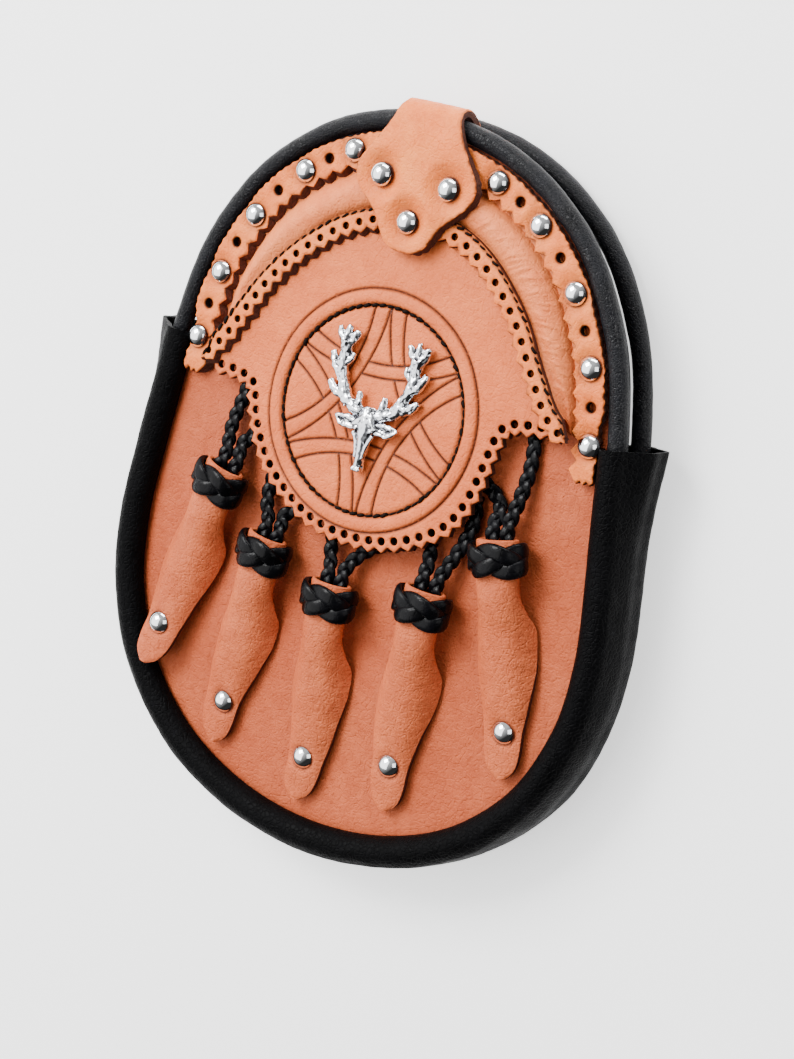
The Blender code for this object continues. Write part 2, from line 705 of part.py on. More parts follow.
def make_tassels(tan, black, steel):
    for name, (x, y, lean, tip_lift) in TASSELS.items():
        place = tassel_place(x, y, lean)
        make_knot(f"knot_{name}", place, black)
        make_leaf(f"leaf_{name}", place, tip_lift, tan)
        crowns = [(LEAF_L * row[0], NECK_H * row[4] + tip_lift * row[0] ** 2) for row in LEAF_SHARES]
        seat = LEAF_L * LEAF_RIVET
        for (a, low), (b, high) in zip(crowns, crowns[1:]):
            if a <= seat <= b:
                height = low + (high - low) * (seat - a) / (b - a)
                slope = math.atan2(low - high, b - a)
        stand = place @ Matrix.Translation((0, -seat, height + CLEAR)) @ Matrix.Rotation(slope, 4, "X")
        cap(f"leaf_rivet_{name}", stand, steel)


def make_cords(black):
    for name, route in CORD_ROUTES.items():
        points = smooth([Vector(p) * MM for p in route], steps=2)
        pressed = [min(CORD_D / 2, p.z - CLEAR) for p in points]  # the flap flattens what lies under it
        tube(name, [lift(*p) for p in points], pressed, black)


# Badge


def rod(points, radii, sides=5):
    """A tapered rod in the badge's plane, as a closed mesh."""
    bm = bmesh.new()
    rings = []
    for i, (point, radius) in enumerate(zip(points, radii)):
        ahead = (points[min(i + 1, len(points) - 1)] - points[max(i - 1, 0)]).normalized()
        side = Vector((-ahead.y, ahead.x, 0))
        up = Vector((0, 0, 1))
        turns = [2 * math.pi * k / sides for k in range(sides)]
        rings.append([bm.verts.new(point + (side * math.cos(a) + up * math.sin(a)) * radius) for a in turns])
    for one, two in zip(rings, rings[1:]):
        for i in range(sides):
            bm.faces.new((one[i - 1], one[i], two[i], two[i - 1]))
    bm.faces.new(rings[0])
    bm.faces.new(reversed(rings[-1]))
    return bm


def make_badge(steel):
    thick = BADGE_RELIEF / 2
    seat = flap_place() @ Matrix.Translation(lift(0, MEDALLION_Y, CLEAR + FLAP_T + CLEAR + thick))
    head = []
    for up, out, deep in HEAD_SHARES:
        turns = [2 * math.pi * k / 8 for k in range(8)]
        head.append([
            Vector((math.cos(a) * out * BADGE_H, up * BADGE_H, max(math.sin(a) * deep * BADGE_H, -thick)))
            for a in turns
        ])
    badge = loft("badge", head, steel, seat)
    pieces = bpy.data.collections.new("badge_pieces")
    bpy.context.scene.collection.children.link(pieces)
    for side in (-1, 1):
        beam = [Vector((side * x * BADGE_H, y * BADGE_H, 0)) for x, y, _ in BEAM_SHARES]
        rods = [(beam, [r * BADGE_H for _, _, r in BEAM_SHARES])]
        for root, tip, radius in TINE_SHARES:
            ends = [Vector((side * x * BADGE_H, y * BADGE_H, 0)) for x, y in (root, tip)]
            line = [ends[0], ends[0].lerp(ends[1], 0.55), ends[1]]
            rods.append((line, [radius * BADGE_H, radius * BADGE_H * 0.85, radius * BADGE_H * 0.3]))
        for number, (line, radii) in enumerate(rods):
            name = f"badge_piece_{side}_{number}"
            piece = bpy.data.objects.new(name, to_mesh(name, rod(line, radii)))
            piece.matrix_world = seat
            piece.hide_render = True
            piece.display_type = "WIRE"
            pieces.objects.link(piece)
    join = badge.modifiers.new("join", "BOOLEAN")
    join.operation = "UNION"
    join.operand_type = "COLLECTION"
    join.collection = pieces


# Back loops


def make_loops(black, steel):
    half = LOOP_L / 2
    raised = half - LOOP_PAD
    ramp = 3 * MM
    line = [(-half, 0), (-raised - ramp, 0), (-raised, 1), (raised, 1), (raised + ramp, 0), (half, 0)]
    for side, letter in ((-1, "l"), (1, "r")):
        sections = []
        for along, up in line:
            near = BACK_FACE - CLEAR - up * (LOOP_GAP - CLEAR)
            far = near - LOOP_T
            y = LOOP_Y + along
            left = side * LOOP_X - LOOP_W / 2
            right = side * LOOP_X + LOOP_W / 2
            corners = ((left, near), (right, near), (right, far), (left, far))
            sections.append([lift(x, y, height) for x, height in corners])
        loft(f"back_loop_{letter}", sections, black)
        for number, end in enumerate((-1, 1), 1):
            y = LOOP_Y + end * (half - 0.45 * LOOP_PAD)
            seat = lift(side * LOOP_X, y, BACK_FACE - 2 * CLEAR - LOOP_T)
            place = Matrix.Translation(seat) @ Matrix.Rotation(math.pi, 4, "X")
            cap(f"loop_rivet_{letter}{number}", place, steel)


def main():
    clear_scene()
    tan = material("tan_leather", TAN, 0.55)
    black = material("black_leather", BLACK, 0.45)
    steel = material("bright_steel", STEEL, 0.12, 1.0)
    make_panels(tan, black)
    make_pipings(black)
    make_gusset(black)
    make_outer_band(tan, steel)
    make_crescent_roll(tan)
    make_flap(tan)
    make_inner_band(tan)
    make_tab(tan, steel)
    make_tassels(tan, black, steel)
    make_cords(black)
    make_badge(steel)
    make_loops(black, steel)


main()
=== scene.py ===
"""The finished look of a leather sporran pouch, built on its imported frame.

Metres. Heights are counted from the front panel's outer face, and `lift` brings them to the floor. Each
piece stands for the plain solids that it names, and keeps their place and size.
"""

import math

import bmesh
import bpy
import numpy as np
from mathutils import Matrix, Vector, noise
from mathutils.geometry import delaunay_2d_cdt
from mathutils.kdtree import KDTree


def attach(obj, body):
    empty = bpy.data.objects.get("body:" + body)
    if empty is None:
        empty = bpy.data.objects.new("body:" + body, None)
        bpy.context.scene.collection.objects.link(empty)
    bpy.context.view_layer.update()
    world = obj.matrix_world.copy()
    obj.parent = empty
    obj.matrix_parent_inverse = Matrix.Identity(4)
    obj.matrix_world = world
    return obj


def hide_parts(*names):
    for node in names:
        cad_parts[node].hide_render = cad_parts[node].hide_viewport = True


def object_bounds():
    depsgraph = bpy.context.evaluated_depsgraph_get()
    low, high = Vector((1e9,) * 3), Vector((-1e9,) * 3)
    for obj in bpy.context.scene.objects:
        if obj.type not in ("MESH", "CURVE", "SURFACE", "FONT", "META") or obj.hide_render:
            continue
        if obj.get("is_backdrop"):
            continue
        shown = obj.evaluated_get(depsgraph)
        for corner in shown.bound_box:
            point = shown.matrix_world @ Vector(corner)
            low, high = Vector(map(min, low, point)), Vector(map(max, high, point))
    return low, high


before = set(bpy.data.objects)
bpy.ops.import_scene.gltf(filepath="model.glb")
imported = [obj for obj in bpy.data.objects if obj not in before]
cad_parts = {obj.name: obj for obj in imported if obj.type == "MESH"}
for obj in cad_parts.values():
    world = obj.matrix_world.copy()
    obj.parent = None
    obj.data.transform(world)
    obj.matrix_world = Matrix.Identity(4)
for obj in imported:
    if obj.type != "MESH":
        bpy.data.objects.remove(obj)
cad_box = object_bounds()

MM = 0.001
CLEAR = 0.3 * MM
UP = (0, 0, 1.0)
SIDES = ((-1, "l"), (1, "r"))

# The pouch's sizes, as in its solids
PANEL_W = 161 * MM
PANEL_H = 215 * MM
PANEL_T = 2.4 * MM
PIPING_D = 6.2 * MM
PIPING_RISE = 1.2 * MM
MOUTH = 15 * MM
OUTLINE_SHARES = (
    (0.5, 0.0), (0.4726, 0.178), (0.395, 0.325), (0.286, 0.417), (0.171, 0.458), (0.069, 0.473),
    (-0.026, 0.488), (-0.127, 0.5), (-0.237, 0.487), (-0.345, 0.425), (-0.431, 0.312), (-0.483, 0.163),
    (-0.5, 0.0),
)
GUSSET_T = 1.4 * MM
GUSSET_EASE = 0.8 * MM
GUSSET_TOP = 32 * MM
GUSSET_SIDE = 1.6 * MM
GUSSET_FLARE = 5 * MM
FLARE_RUN = 45 * MM
BAND_W = 8.6 * MM
BAND_T = 2.7 * MM
BAND_SEAT = 1.2 * MM
BAND_END = 22 * MM
BAND_TUCK = 2.2 * MM
BAND_HOLE_D = 3 * MM
RIVET_IN = 4.8 * MM
BAND_TOOTH = 5.4 * MM
BAND_TOOTH_DEPTH = 1.9 * MM
TRIM_WAVE = 2.9 * MM  # the hand-trimmed edge beside the piping goes in and out this often
EDGE_LEAN = 1.7 * MM  # the cut edges that face right show this much raw leather
RIVET_D = 6.9 * MM
RIVET_H = 2.2 * MM
RIVET_SINK = 0.35 * MM  # the cap's rim lies this far down in its dimple
RIVET_SHADE_RADII = (3.4 * MM, 3.9 * MM, 6.0 * MM)  # radii: painted shade under the cap's rim from the first to the second, a softer painted shade in the dimple out to the third
RIVET_SHARES = (0.05, 0.237, 0.463, 0.679, 0.899)
MEDALLION_Y = 24.3 * MM
TOOLED_X = -1.4 * MM  # the tooled circles' middle
BADGE_X = -0.5 * MM
FLAP_T = 2.6 * MM
FLAP_TILT = math.radians(3.4)
FLAP_HINGE_Y = 79 * MM
# The flap's row of holes, left to right in mm: across, up
FLAP_ROW = (
    (-59.5, 25.4), (-53.2, 25.2), (-48.2, 24.4), (-43.9, 22.0), (-41.8, 15.4), (-37.8, 6.7),
    (-32.0, -0.8), (-24.6, -6.6), (-16.7, -10.9), (-8.3, -13.2), (0.8, -13.7), (9.0, -12.9),
    (16.9, -10.8), (24.3, -7.3), (30.8, -2.6), (35.4, 4.2), (38.2, 13.0), (39.8, 21.0), (41.6, 28.0),
    (44.6, 31.4), (49.6, 32.6), (57.0, 33.4),
)
FLAP_HOLE_D = 2.5 * MM
FLAP_PITCH = 4.4 * MM
FLAP_EDGE = 3.5 * MM
FLAP_TOOTH_DEPTH = 1.6 * MM
INNER_BAND_T = 2.2 * MM
INNER_BAND_OUT = 3.6 * MM
SEAM_OUT = 3.0 * MM  # the row of stitches, from the holes
INNER_BAND_IN = 3.4 * MM
INNER_TOOTH_DEPTH = 1.6 * MM
INNER_HOLE_D = 2.2 * MM
INNER_PITCH = 4.75 * MM
# The inner band's row of holes, left to right in mm: across, up
ARCH_ROW = (
    (-63.2, 27.0), (-58.9, 31.6), (-55.6, 36.0), (-52.7, 41.4), (-49.4, 47.3), (-44.5, 55.2),
    (-38.4, 62.7), (-31.6, 69.0), (-23.7, 74.7), (-15.0, 78.7), (-5.0, 81.3), (5.0, 81.6), (14.0, 80.2),
    (21.8, 77.0), (28.8, 72.2), (35.6, 65.8), (41.7, 58.7), (46.6, 50.9), (50.8, 44.6), (54.6, 39.0),
    (58.2, 35.2), (63.4, 32.0),
)
ROLL_MARGIN = 6 * MM
ROLL_MARGIN_T = 0.6 * MM
ROLL_CROWN = 5.4 * MM
ROLL_END = 34 * MM
ROLL_ARCH_START = 0.03
ROLL_FULL_W = 9 * MM
ROLL_SHARES = ((0.1, 0.5), (0.32, 0.88), (0.56, 1.0), (0.8, 0.86))
TAB_T = 2.6 * MM
TAB_W = 40.8 * MM
TAB_TIP_Y = 72.5 * MM
TAB_SEAT = 5.8 * MM
TAB_LEG = 20 * MM
TAB_BEND = 20 * MM
TAB_SHARES = (
    (0.0, 0.05), (0.015, 0.11), (0.06, 0.175), (0.14, 0.225), (0.22, 0.27), (0.31, 0.365), (0.4, 0.46),
    (0.49, 0.5), (0.58, 0.492), (0.69, 0.424), (0.8, 0.353), (0.92, 0.285),
)
TAB_NECK = 0.245
TAB_SHADE_OFFSET = (-2.2 * MM, 4.6 * MM)  # from each rivet to a patch of painted shade on its dimple's upper-left wall
TAB_PUFF = 0.7 * MM
TAB_RIVETS = ((-0.28, 0.505), (0.28, 0.505), (0.0, 0.215))
KNOT_W = 19.6 * MM
KNOT_H = 13.4 * MM
KNOT_L = 12 * MM
KNOT_DROP = 0.9 * MM
NECK_W = 13.6 * MM
NECK_H = 8 * MM
LEAF_L = 66 * MM
LEAF_W = 20 * MM
LEAF_T = 2.4 * MM
LEAF_RIVET = 0.79
LEAF_WALL = 1.3 * MM  # of the rolled neck
# Along the leaf (share), half width (share of its width), edge and crown (share of the neck's height)
LEAF_SHARES = (
    (0.1, 0.34, 0.95, 1.37), (0.16, 0.35, 0.92, 1.36), (0.24, 0.42, 0.66, 1.22),
    (0.33, 0.49, 0.46, 1.06), (0.46, 0.50, 0.38, 0.92), (0.64, 0.40, 0.34, 0.73),
    (0.78, 0.315, 0.36, 0.56), (0.88, 0.29, 0.38, 0.50), (0.955, 0.22, 0.38, 0.48),
    (1.0, 0.07, 0.38, 0.46),
)
TASSELS = {
    "1": (-50 * MM, -9.5 * MM, -15.5, 4.8 * MM),
    "2": (-29.5 * MM, -26.5 * MM, -8, 0),
    "3": (-3.5 * MM, -34 * MM, -1, 0),
    "4": (28.5 * MM, -27 * MM, -3, 0),
    "5": (50 * MM, -6 * MM, 12.5, 0),
}
CORD_ROUTES = {
    "cord_1a": ((-46.6, 29.5, 1.6), (-48.4, 23, 1.8), (-50, 15, 2.6), (-51, 7, 4), (-50.3, -0.3, 5.5)),
    "cord_1b": ((-32.5, 14, 2), (-38, 10.5, 2.1), (-43.5, 6.4, 2.5), (-46, 2.4, 4.2), (-45.4, -1.7, 5.5)),
    "cord_2a": ((-31, 5.5, 2.3), (-33, -1, 2.5), (-34, -7.5, 2.9), (-33, -13, 4.2), (-30.8, -17.4, 5.5)),
    "cord_2b": ((-13, -3.5, 2.6), (-19, -8, 2.7), (-24, -12, 3), (-26.6, -15.4, 4.2), (-25.9, -18.1, 5.5)),
    "cord_3a": ((-7.8, -5.5, 2.6), (-8.4, -12, 2.7), (-8.4, -17.5, 3.2), (-7.5, -22, 3.9), (-6, -25.2, 5.4)),
    "cord_3b": ((19.5, -11, 2.6), (13.2, -13, 2.7), (6.4, -16, 3), (1.4, -20.6, 3.8), (-0.8, -25.2, 5.4)),
    "cord_4a": ((23, 2, 2.4), (24.4, -4.4, 2.6), (25.6, -10.5, 3), (26.4, -15, 4.1), (26.5, -18.1, 5.4)),
    "cord_4b": ((37, 8, 2.2), (38, 1, 2.5), (36.4, -6, 3.2), (33.8, -12.6, 4.2), (31.6, -18.4, 5.4)),
    "cord_5a": ((36.6, 13.5, 2), (40.6, 11.6, 2.1), (44.6, 9, 2.5), (46.4, 5.6, 4.1), (45.9, 2.1, 5.4)),
    "cord_5b": ((51, 34.5, 1.4), (51.8, 28, 1.6), (52.4, 20.5, 2.2), (52, 12, 4), (50.8, 3.2, 5.5)),
}
BADGE_H = 42 * MM
BADGE_RELIEF = 3.2 * MM
LOOP_W = 16 * MM
LOOP_L = 50 * MM
LOOP_PAD = 12 * MM
LOOP_T = 1.7 * MM
LOOP_GAP = 4.4 * MM
LOOP_X = 42 * MM
LOOP_Y = 48 * MM

PIPING_R = PIPING_D / 2
GUSSET_OUTER_R = PIPING_R + GUSSET_EASE + GUSSET_T
BACK_AXIS = PIPING_RISE - MOUTH
BACK_FACE = BACK_AXIS + PIPING_RISE
FLOOR = BACK_AXIS - GUSSET_OUTER_R
FOLD_REACH = PIPING_D + 0.4 * MM + TAB_T
CENTRE_SHIFT = (PIPING_R + GUSSET_OUTER_R - FOLD_REACH) / 2

# Tooling on the medallion: two stitched or pressed circles and six interlaced straps
STITCH_R = 31.3 * MM
RING_R = 36.3 * MM
STRAP_DIRECTIONS = {"A": 150.5, "C": 93, "F": 32, "B": -27, "D": -89, "E": -147.5}
STRAP_OVER = {"C": "A", "E": "AD", "F": "CB", "D": "B", "A": "", "B": ""}
STRAP_FAR = (60 * MM, 46 * MM)  # an arc's centre from the medallion's, and its radius
STRAP_NEAR = (72 * MM, 62 * MM)
GROOVE_W = 0.42 * MM
GROOVE_DEPTH = 0.55 * MM


def lift(points):
    """Points given from the outline's middle and the front panel's face, in the part's own frame."""
    return np.asarray(points, float) + (0, CENTRE_SHIFT, -FLOOR)


def moved(points, place):
    points = np.asarray(points, float)
    return points @ np.array(place.to_3x3()).T + np.array(place.translation)


# Lines


def smooth(points, closed=False, steps=12):
    """Points on a Catmull-Rom curve through the given ones."""
    points = np.asarray(points, float)
    count = len(points)
    t = (np.arange(steps) / steps)[:, None]
    found = []
    for i in range(count if closed else count - 1):
        picked = [(i + k) % count if closed else min(max(i + k, 0), count - 1) for k in (-1, 0, 1, 2)]
        a, b, c, d = points[picked]
        bend = (2 * a - 5 * b + 4 * c - d) * t**2 + (3 * b - a - 3 * c + d) * t**3
        found.append(0.5 * (2 * b + (c - a) * t + bend))
    found = np.vstack(found)
    return found if closed else np.vstack([found, points[-1:]])


def lengths(points):
    return np.concatenate([[0], np.cumsum(np.linalg.norm(np.diff(points, axis=0), axis=1))])


def at(points, shares):
    """The points that lie these shares of the way along a line."""
    along = lengths(points)
    wanted = np.clip(np.asarray(shares, float), 0, 1) * along[-1]
    return np.stack([np.interp(wanted, along, points[:, k]) for k in range(points.shape[1])], axis=-1)


def spaced(points, count):
    return at(np.asarray(points), np.linspace(0, 1, count))


def apart(points, centre):
    """Each point's distance from one place."""
    return np.linalg.norm(points - centre, axis=1)


def unit(vectors):
    return vectors / np.linalg.norm(vectors, axis=-1)[..., None]


def heading(points):
    """Where a line goes at each of its points, not yet of unit length."""
    return np.vstack([points[1:], points[-1:]]) - np.vstack([points[:1], points[:-1]])


def beside(points, distances):
    """The line moved to its left by a distance at each point."""
    ahead = heading(points)
    normal = unit(np.stack([-ahead[:, 1], ahead[:, 0]], axis=1))
    return points + normal * np.reshape(distances, (-1, 1))


def pinked(points, pitch, depth, reach):
    """The line moved to its left by reach, cut into teeth that point outwards, one to each pitch."""
    teeth = max(round(lengths(points)[-1] / pitch), 2)
    line = spaced(points, 2 * teeth + 1)
    return beside(line, [reach - depth * (i % 2 == 0) for i in range(len(line))])


def finer(points, step):
    """The same corners, with more points on the straight stretches between them."""
    found = []
    for a, b in zip(points, points[1:]):
        count = max(int(np.linalg.norm(b - a) / step), 1)
        found.append(a + (b - a) * (np.arange(count) / count)[:, None])
    return np.vstack(found + [points[-1:]])


def closed_loop(loop):
    return np.vstack([loop, loop[:1]])


def wrapped(loop):
    """A closed loop's points, with the last one before them and the first one after."""
    return np.vstack([loop[-1:], loop, loop[:1]])


def turns_of(count):
    """The angles of this many places round a circle."""
    return np.arange(count) * 2 * math.pi / count


def circle(centre, radius, count):
    turns = turns_of(count)
    return np.asarray(centre) + np.stack([np.cos(turns), np.sin(turns)], axis=1) * radius


def cut_line(parts, step):
    """A closed outline made of lines that follow each other, with a point at least this often."""
    return finer(closed_loop(np.vstack(parts)), step)[:-1]


def mirrored(points):
    return np.asarray(points)[::-1] * (-1, 1)


RIGHT_SIDE = np.array([(PANEL_W * out, PANEL_H * up) for up, out in OUTLINE_SHARES])
OUTLINE = smooth(np.vstack([RIGHT_SIDE[:-1], mirrored(RIGHT_SIDE)[:-1]]), closed=True)
CLOSED_OUTLINE = closed_loop(OUTLINE)
PERIMETER = lengths(CLOSED_OUTLINE)[-1]


def rim(share, offset=0.0):
    """Points this share of the way round the outline, clockwise from the top, and this far outside it."""
    share = np.asarray(share, float)
    here = at(CLOSED_OUTLINE, share % 1)
    step = at(CLOSED_OUTLINE, (share + 0.004) % 1) - at(CLOSED_OUTLINE, (share - 0.004) % 1)
    normal = unit(np.stack([-step[..., 1], step[..., 0]], axis=-1))
    return here + normal * np.asarray(offset)[..., None]


def rim_and_outwards(stations, offset=0.0):
    """Points round the outline, this far outside it, and the directions outwards from them."""
    base = rim(stations, offset)
    return base, unit(rim(stations, offset + MM) - base)


def rim_share(height):
    """How far round the right side the outline comes down to this height."""
    shares = np.linspace(0.02, 0.5, 4000)
    return float(shares[np.argmax(rim(shares)[:, 1] <= height)])


def inside(points, loop):
    """Which of the points lie inside a closed loop."""
    found = []
    a = loop
    b = np.roll(loop, -1, axis=0)
    slope = (b[:, 0] - a[:, 0]) / np.where(b[:, 1] == a[:, 1], 1, b[:, 1] - a[:, 1])
    for part in np.array_split(points, max(len(points) // 1000, 1)):
        x, y = part[:, 0:1], part[:, 1:2]
        crosses = ((a[:, 1] > y) != (b[:, 1] > y)) & (x < a[:, 0] + (y - a[:, 1]) * slope)
        found.append(np.count_nonzero(crosses, axis=1) % 2 == 1)
    return np.concatenate(found)


def nearest(points, lines, step=0.15 * MM):
    """Each point's distance to the nearest of the lines."""
    dense = np.vstack([finer(np.asarray(line), step) for line in lines])
    tree = KDTree(len(dense))
    for i, (x, y) in enumerate(dense):
        tree.insert((x, y, 0), i)
    tree.balance()
    return np.array([tree.find((x, y, 0))[2] for x, y in points])


def waves(points, size, seed=0.0):
    """Smooth noise between -1 and 1 at each point, its waves about this long."""
    points = np.asarray(points, float)
    if points.shape[1] == 2:
        points = np.column_stack([points, np.zeros(len(points))])
    return np.array([noise.noise(Vector(p / size) + Vector((seed, 0.7 * seed, 1.3 * seed))) for p in points])


def ease(low, high, value):
    t = np.clip((value - low) / (high - low), 0, 1)
    return t * t * (3 - 2 * t)


def bell(distance, width):
    return np.exp(-((distance / width) ** 2))


def uneven(points, height, *swells):
    """The height with waves added, each given as its height and length in mm and its seed."""
    for rise, length, seed in swells:
        height = height + rise * MM * waves(points, length * MM, seed)
    return height


# Materials


# the dark brown towards which tooled lines and the painted shade marked on the mesh are mixed
TOOLING_AND_PAINTED_SHADE_BROWN = (0.03, 0.007, 0.004, 1)


def new_material(name):
    made = bpy.data.materials.new(name)
    made.use_nodes = True
    return made, made.node_tree, made.node_tree.nodes["Principled BSDF"]


def connect(tree, made, **values):
    """Fills a node's inputs: a socket is linked, anything else becomes the input's own value."""
    for name, value in values.items():
        target = made.inputs[int(name[1:])] if name[1:].isdigit() else made.inputs[name.replace("_", " ")]
        if isinstance(value, bpy.types.NodeSocket):
            tree.links.new(value, target)
        else:
            target.default_value = value


def node(tree, kind, settings=None, **values):
    """A shader node, with its settings and its inputs."""
    made = tree.nodes.new(kind)
    for name, value in (settings or {}).items():
        setattr(made, name, value)
    connect(tree, made, **values)
    return made


def place_of(tree, stretch=(1, 1, 1)):
    """The point's place in metres, squeezed along the axes to draw marks out."""
    where = tree.nodes.new("ShaderNodeTexCoord").outputs["Object"]
    return node(tree, "ShaderNodeMapping", Vector=where, Scale=stretch).outputs["Vector"]


def noise_at(tree, vector, size, detail=3.0, rough=0.55):
    made = node(tree, "ShaderNodeTexNoise", Vector=vector, Scale=1 / size, Detail=detail, Roughness=rough)
    return made.outputs["Fac"]


def ramp(tree, value, low, high, dark=0.0, light=1.0):
    made = node(
        tree, "ShaderNodeMapRange", Value=value, From_Min=low, From_Max=high, To_Min=dark, To_Max=light
    )
    return made.outputs["Result"]


def mix(tree, share, one, two):
    """Mixes two colours; each is a colour or a socket."""
    return node(tree, "ShaderNodeMix", {"data_type": "RGBA"}, i0=share, i6=one, i7=two).outputs[2]


def tooling_grime_and_painted_shade(tree):
    """How dark the mesh marks this point: tooled lines, grime in the badge's hollows, and painted shade round
    rivets, along cut edges and in hollows.
    """
    return node(tree, "ShaderNodeAttribute", {"attribute_name": "dark"}).outputs["Fac"]


def cells(tree, vector, size, feature):
    made = node(tree, "ShaderNodeTexVoronoi", {"feature": feature}, Vector=vector, Scale=1 / size)
    return made.outputs["Distance"]


def bumps(tree, *layers):
    """Bumps laid one on another, each with its strength, distance and height; returns the normal."""
    under = {}
    for strength, distance, height in layers:
        made = node(tree, "ShaderNodeBump", Strength=strength, Distance=distance, Height=height, **under)
        under = {"Normal": made.outputs["Normal"]}
    return under["Normal"]


def tan_leather(name, base, light, deep, rough=0.5, grain=1.0):
    """Waxed vegetable-tanned leather: mottled, with fine pores and creases, dark where it is tooled and where
    the mesh marks painted shade.
    """
    made, tree, shader = new_material(name)
    where = place_of(tree)
    broad = ramp(tree, noise_at(tree, where, 26 * MM, 4), 0.36, 0.66)
    cloudy = ramp(tree, noise_at(tree, where, 5 * MM, 5, 0.65), 0.35, 0.7)
    fine = ramp(tree, noise_at(tree, where, 0.9 * MM, 3, 0.6), 0.3, 0.72)
    streaks = ramp(tree, noise_at(tree, place_of(tree, (1, 0.35, 1)), 2.2 * MM, 4, 0.7), 0.5, 0.78)
    colour = mix(tree, broad, base, light)
    for marks, share, tint in ((cloudy, 0.62, deep), (streaks, 0.36, deep), (fine, 0.52, light)):
        colour = mix(tree, ramp(tree, marks, 0, 1, 0, share), colour, tint)
    relief = bumps(
        tree,
        (0.9, 0.15 * MM * grain, ramp(tree, cells(tree, where, 0.85 * MM, "F1"), 0.0, 0.55)),
        (0.9, 0.42 * MM * grain, noise_at(tree, where, 1.5 * MM, 5, 0.7)),
        (0.4, 0.25 * MM * grain, ramp(tree, cells(tree, where, 2.6 * MM, "DISTANCE_TO_EDGE"), 0.0, 0.09)),
    )
    connect(
        tree, shader, Base_Color=mix(tree, tooling_grime_and_painted_shade(tree), colour, TOOLING_AND_PAINTED_SHADE_BROWN), Specular_IOR_Level=0.2,
        Roughness=ramp(tree, cloudy, 0, 1, rough - 0.07, rough + 0.12), Normal=relief,
    )
    return made


def black_leather(name, base, sheen, rough, grain, cell=1.1 * MM, gloss=0.2):
    """Black leather with a soft bluish sheen, a fine grain and a few pale scuffs."""
    made, tree, shader = new_material(name)
    where = place_of(tree)
    cloudy = noise_at(tree, where, 7 * MM, 4, 0.6)
    scuff = ramp(tree, noise_at(tree, place_of(tree, (1, 0.3, 0.6)), 1.6 * MM, 5, 0.75), 0.58, 0.75)
    colour = mix(tree, ramp(tree, cloudy, 0.35, 0.7), base, sheen)
    colour = mix(tree, ramp(tree, scuff, 0, 1, 0, 0.3), colour, (0.014, 0.0145, 0.018, 1))
    relief = bumps(
        tree,
        (0.4 * grain, 0.15 * MM, ramp(tree, cells(tree, where, cell, "DISTANCE_TO_EDGE"), 0.0, 0.16)),
        (0.3 * grain, 0.4 * MM, noise_at(tree, where, 2.4 * MM, 5, 0.65)),
    )
    connect(
        tree, shader, Base_Color=colour, Specular_IOR_Level=gloss, Normal=relief,
        Roughness=ramp(tree, cloudy, 0.3, 0.7, rough - 0.08, rough + 0.1),
    )
    return made


def raw_edge(name, base, light):
    """Cut leather: dark brown, fibrous and matt."""
    made, tree, shader = new_material(name)
    fibres = ramp(tree, noise_at(tree, place_of(tree, (1, 1, 2.5)), 0.7 * MM, 4, 0.7), 0.3, 0.7)
    connect(
        tree, shader, Base_Color=mix(tree, fibres, base, light), Roughness=0.85, Specular_IOR_Level=0.25,
        Normal=bumps(tree, (0.7, 0.3 * MM, fibres)),
    )
    return made


def chrome(name, rough, marks, shine):
    """Bright plating, with fine handling marks, and grime where the casting is deep."""
    made, tree, shader = new_material(name)
    cloudy = noise_at(tree, place_of(tree), 1.6 * MM, 4, 0.65)
    connect(
        tree, shader, Base_Color=mix(tree, tooling_grime_and_painted_shade(tree), shine, (0.03, 0.03, 0.035, 1)), Metallic=1.0,
        Roughness=ramp(tree, cloudy, 0.35, 0.7, rough, rough + 0.08),
        Normal=bumps(tree, (marks, 0.1 * MM, cloudy)),
    )
    return made


def thread(name, base, light):
    """Waxed linen thread, its strands twisted."""
    made, tree, shader = new_material(name)
    twist = noise_at(tree, place_of(tree, (1, 1, 3)), 0.5 * MM, 3, 0.7)
    connect(
        tree, shader, Base_Color=mix(tree, ramp(tree, twist, 0.35, 0.7), base, light), Roughness=0.6,
        Specular_IOR_Level=0.06, Normal=bumps(tree, (0.6, 0.15 * MM, twist)),
    )
    return made


TAN = tan_leather("tan_panel", (0.46, 0.086, 0.027, 1), (0.56, 0.118, 0.04, 1), (0.33, 0.053, 0.016, 1), 0.55)
FLAP_TAN = tan_leather(
    "tan_flap", (0.7, 0.14, 0.032, 1), (0.82, 0.185, 0.048, 1), (0.52, 0.09, 0.02, 1), 0.5, 0.75
)
BAND_TAN = tan_leather(
    "tan_band", (0.84, 0.165, 0.024, 1), (0.94, 0.25, 0.05, 1), (0.62, 0.1, 0.015, 1), 0.46, 0.7
)
ROLL_TAN = tan_leather(
    "tan_roll", (0.78, 0.175, 0.046, 1), (0.88, 0.25, 0.08, 1), (0.58, 0.108, 0.026, 1), 0.46, 0.7
)
LEAF_TAN = tan_leather(
    "tan_leaf", (0.52, 0.103, 0.032, 1), (0.65, 0.148, 0.05, 1), (0.36, 0.062, 0.019, 1), 0.5, 1.1
)
BLACK = black_leather(
    "black_gusset", (0.0012, 0.0012, 0.0014, 1), (0.0022, 0.0022, 0.0026, 1), 0.48, 2.2, 1.4 * MM, 0.04
)
PIPED_BLACK = black_leather(
    "black_piping", (0.0022, 0.0022, 0.003, 1), (0.005, 0.0054, 0.0078, 1), 0.38, 1.9, 0.9 * MM, 0.18
)
BRAID_BLACK = black_leather(
    "black_braid", (0.0012, 0.0012, 0.0015, 1), (0.0028, 0.0028, 0.004, 1), 0.25, 0.5, 2 * MM, 0.11
)
BACK_BLACK = black_leather(
    "black_back", (0.005, 0.005, 0.006, 1), (0.009, 0.009, 0.01, 1), 0.6, 0.8, gloss=0.15
)
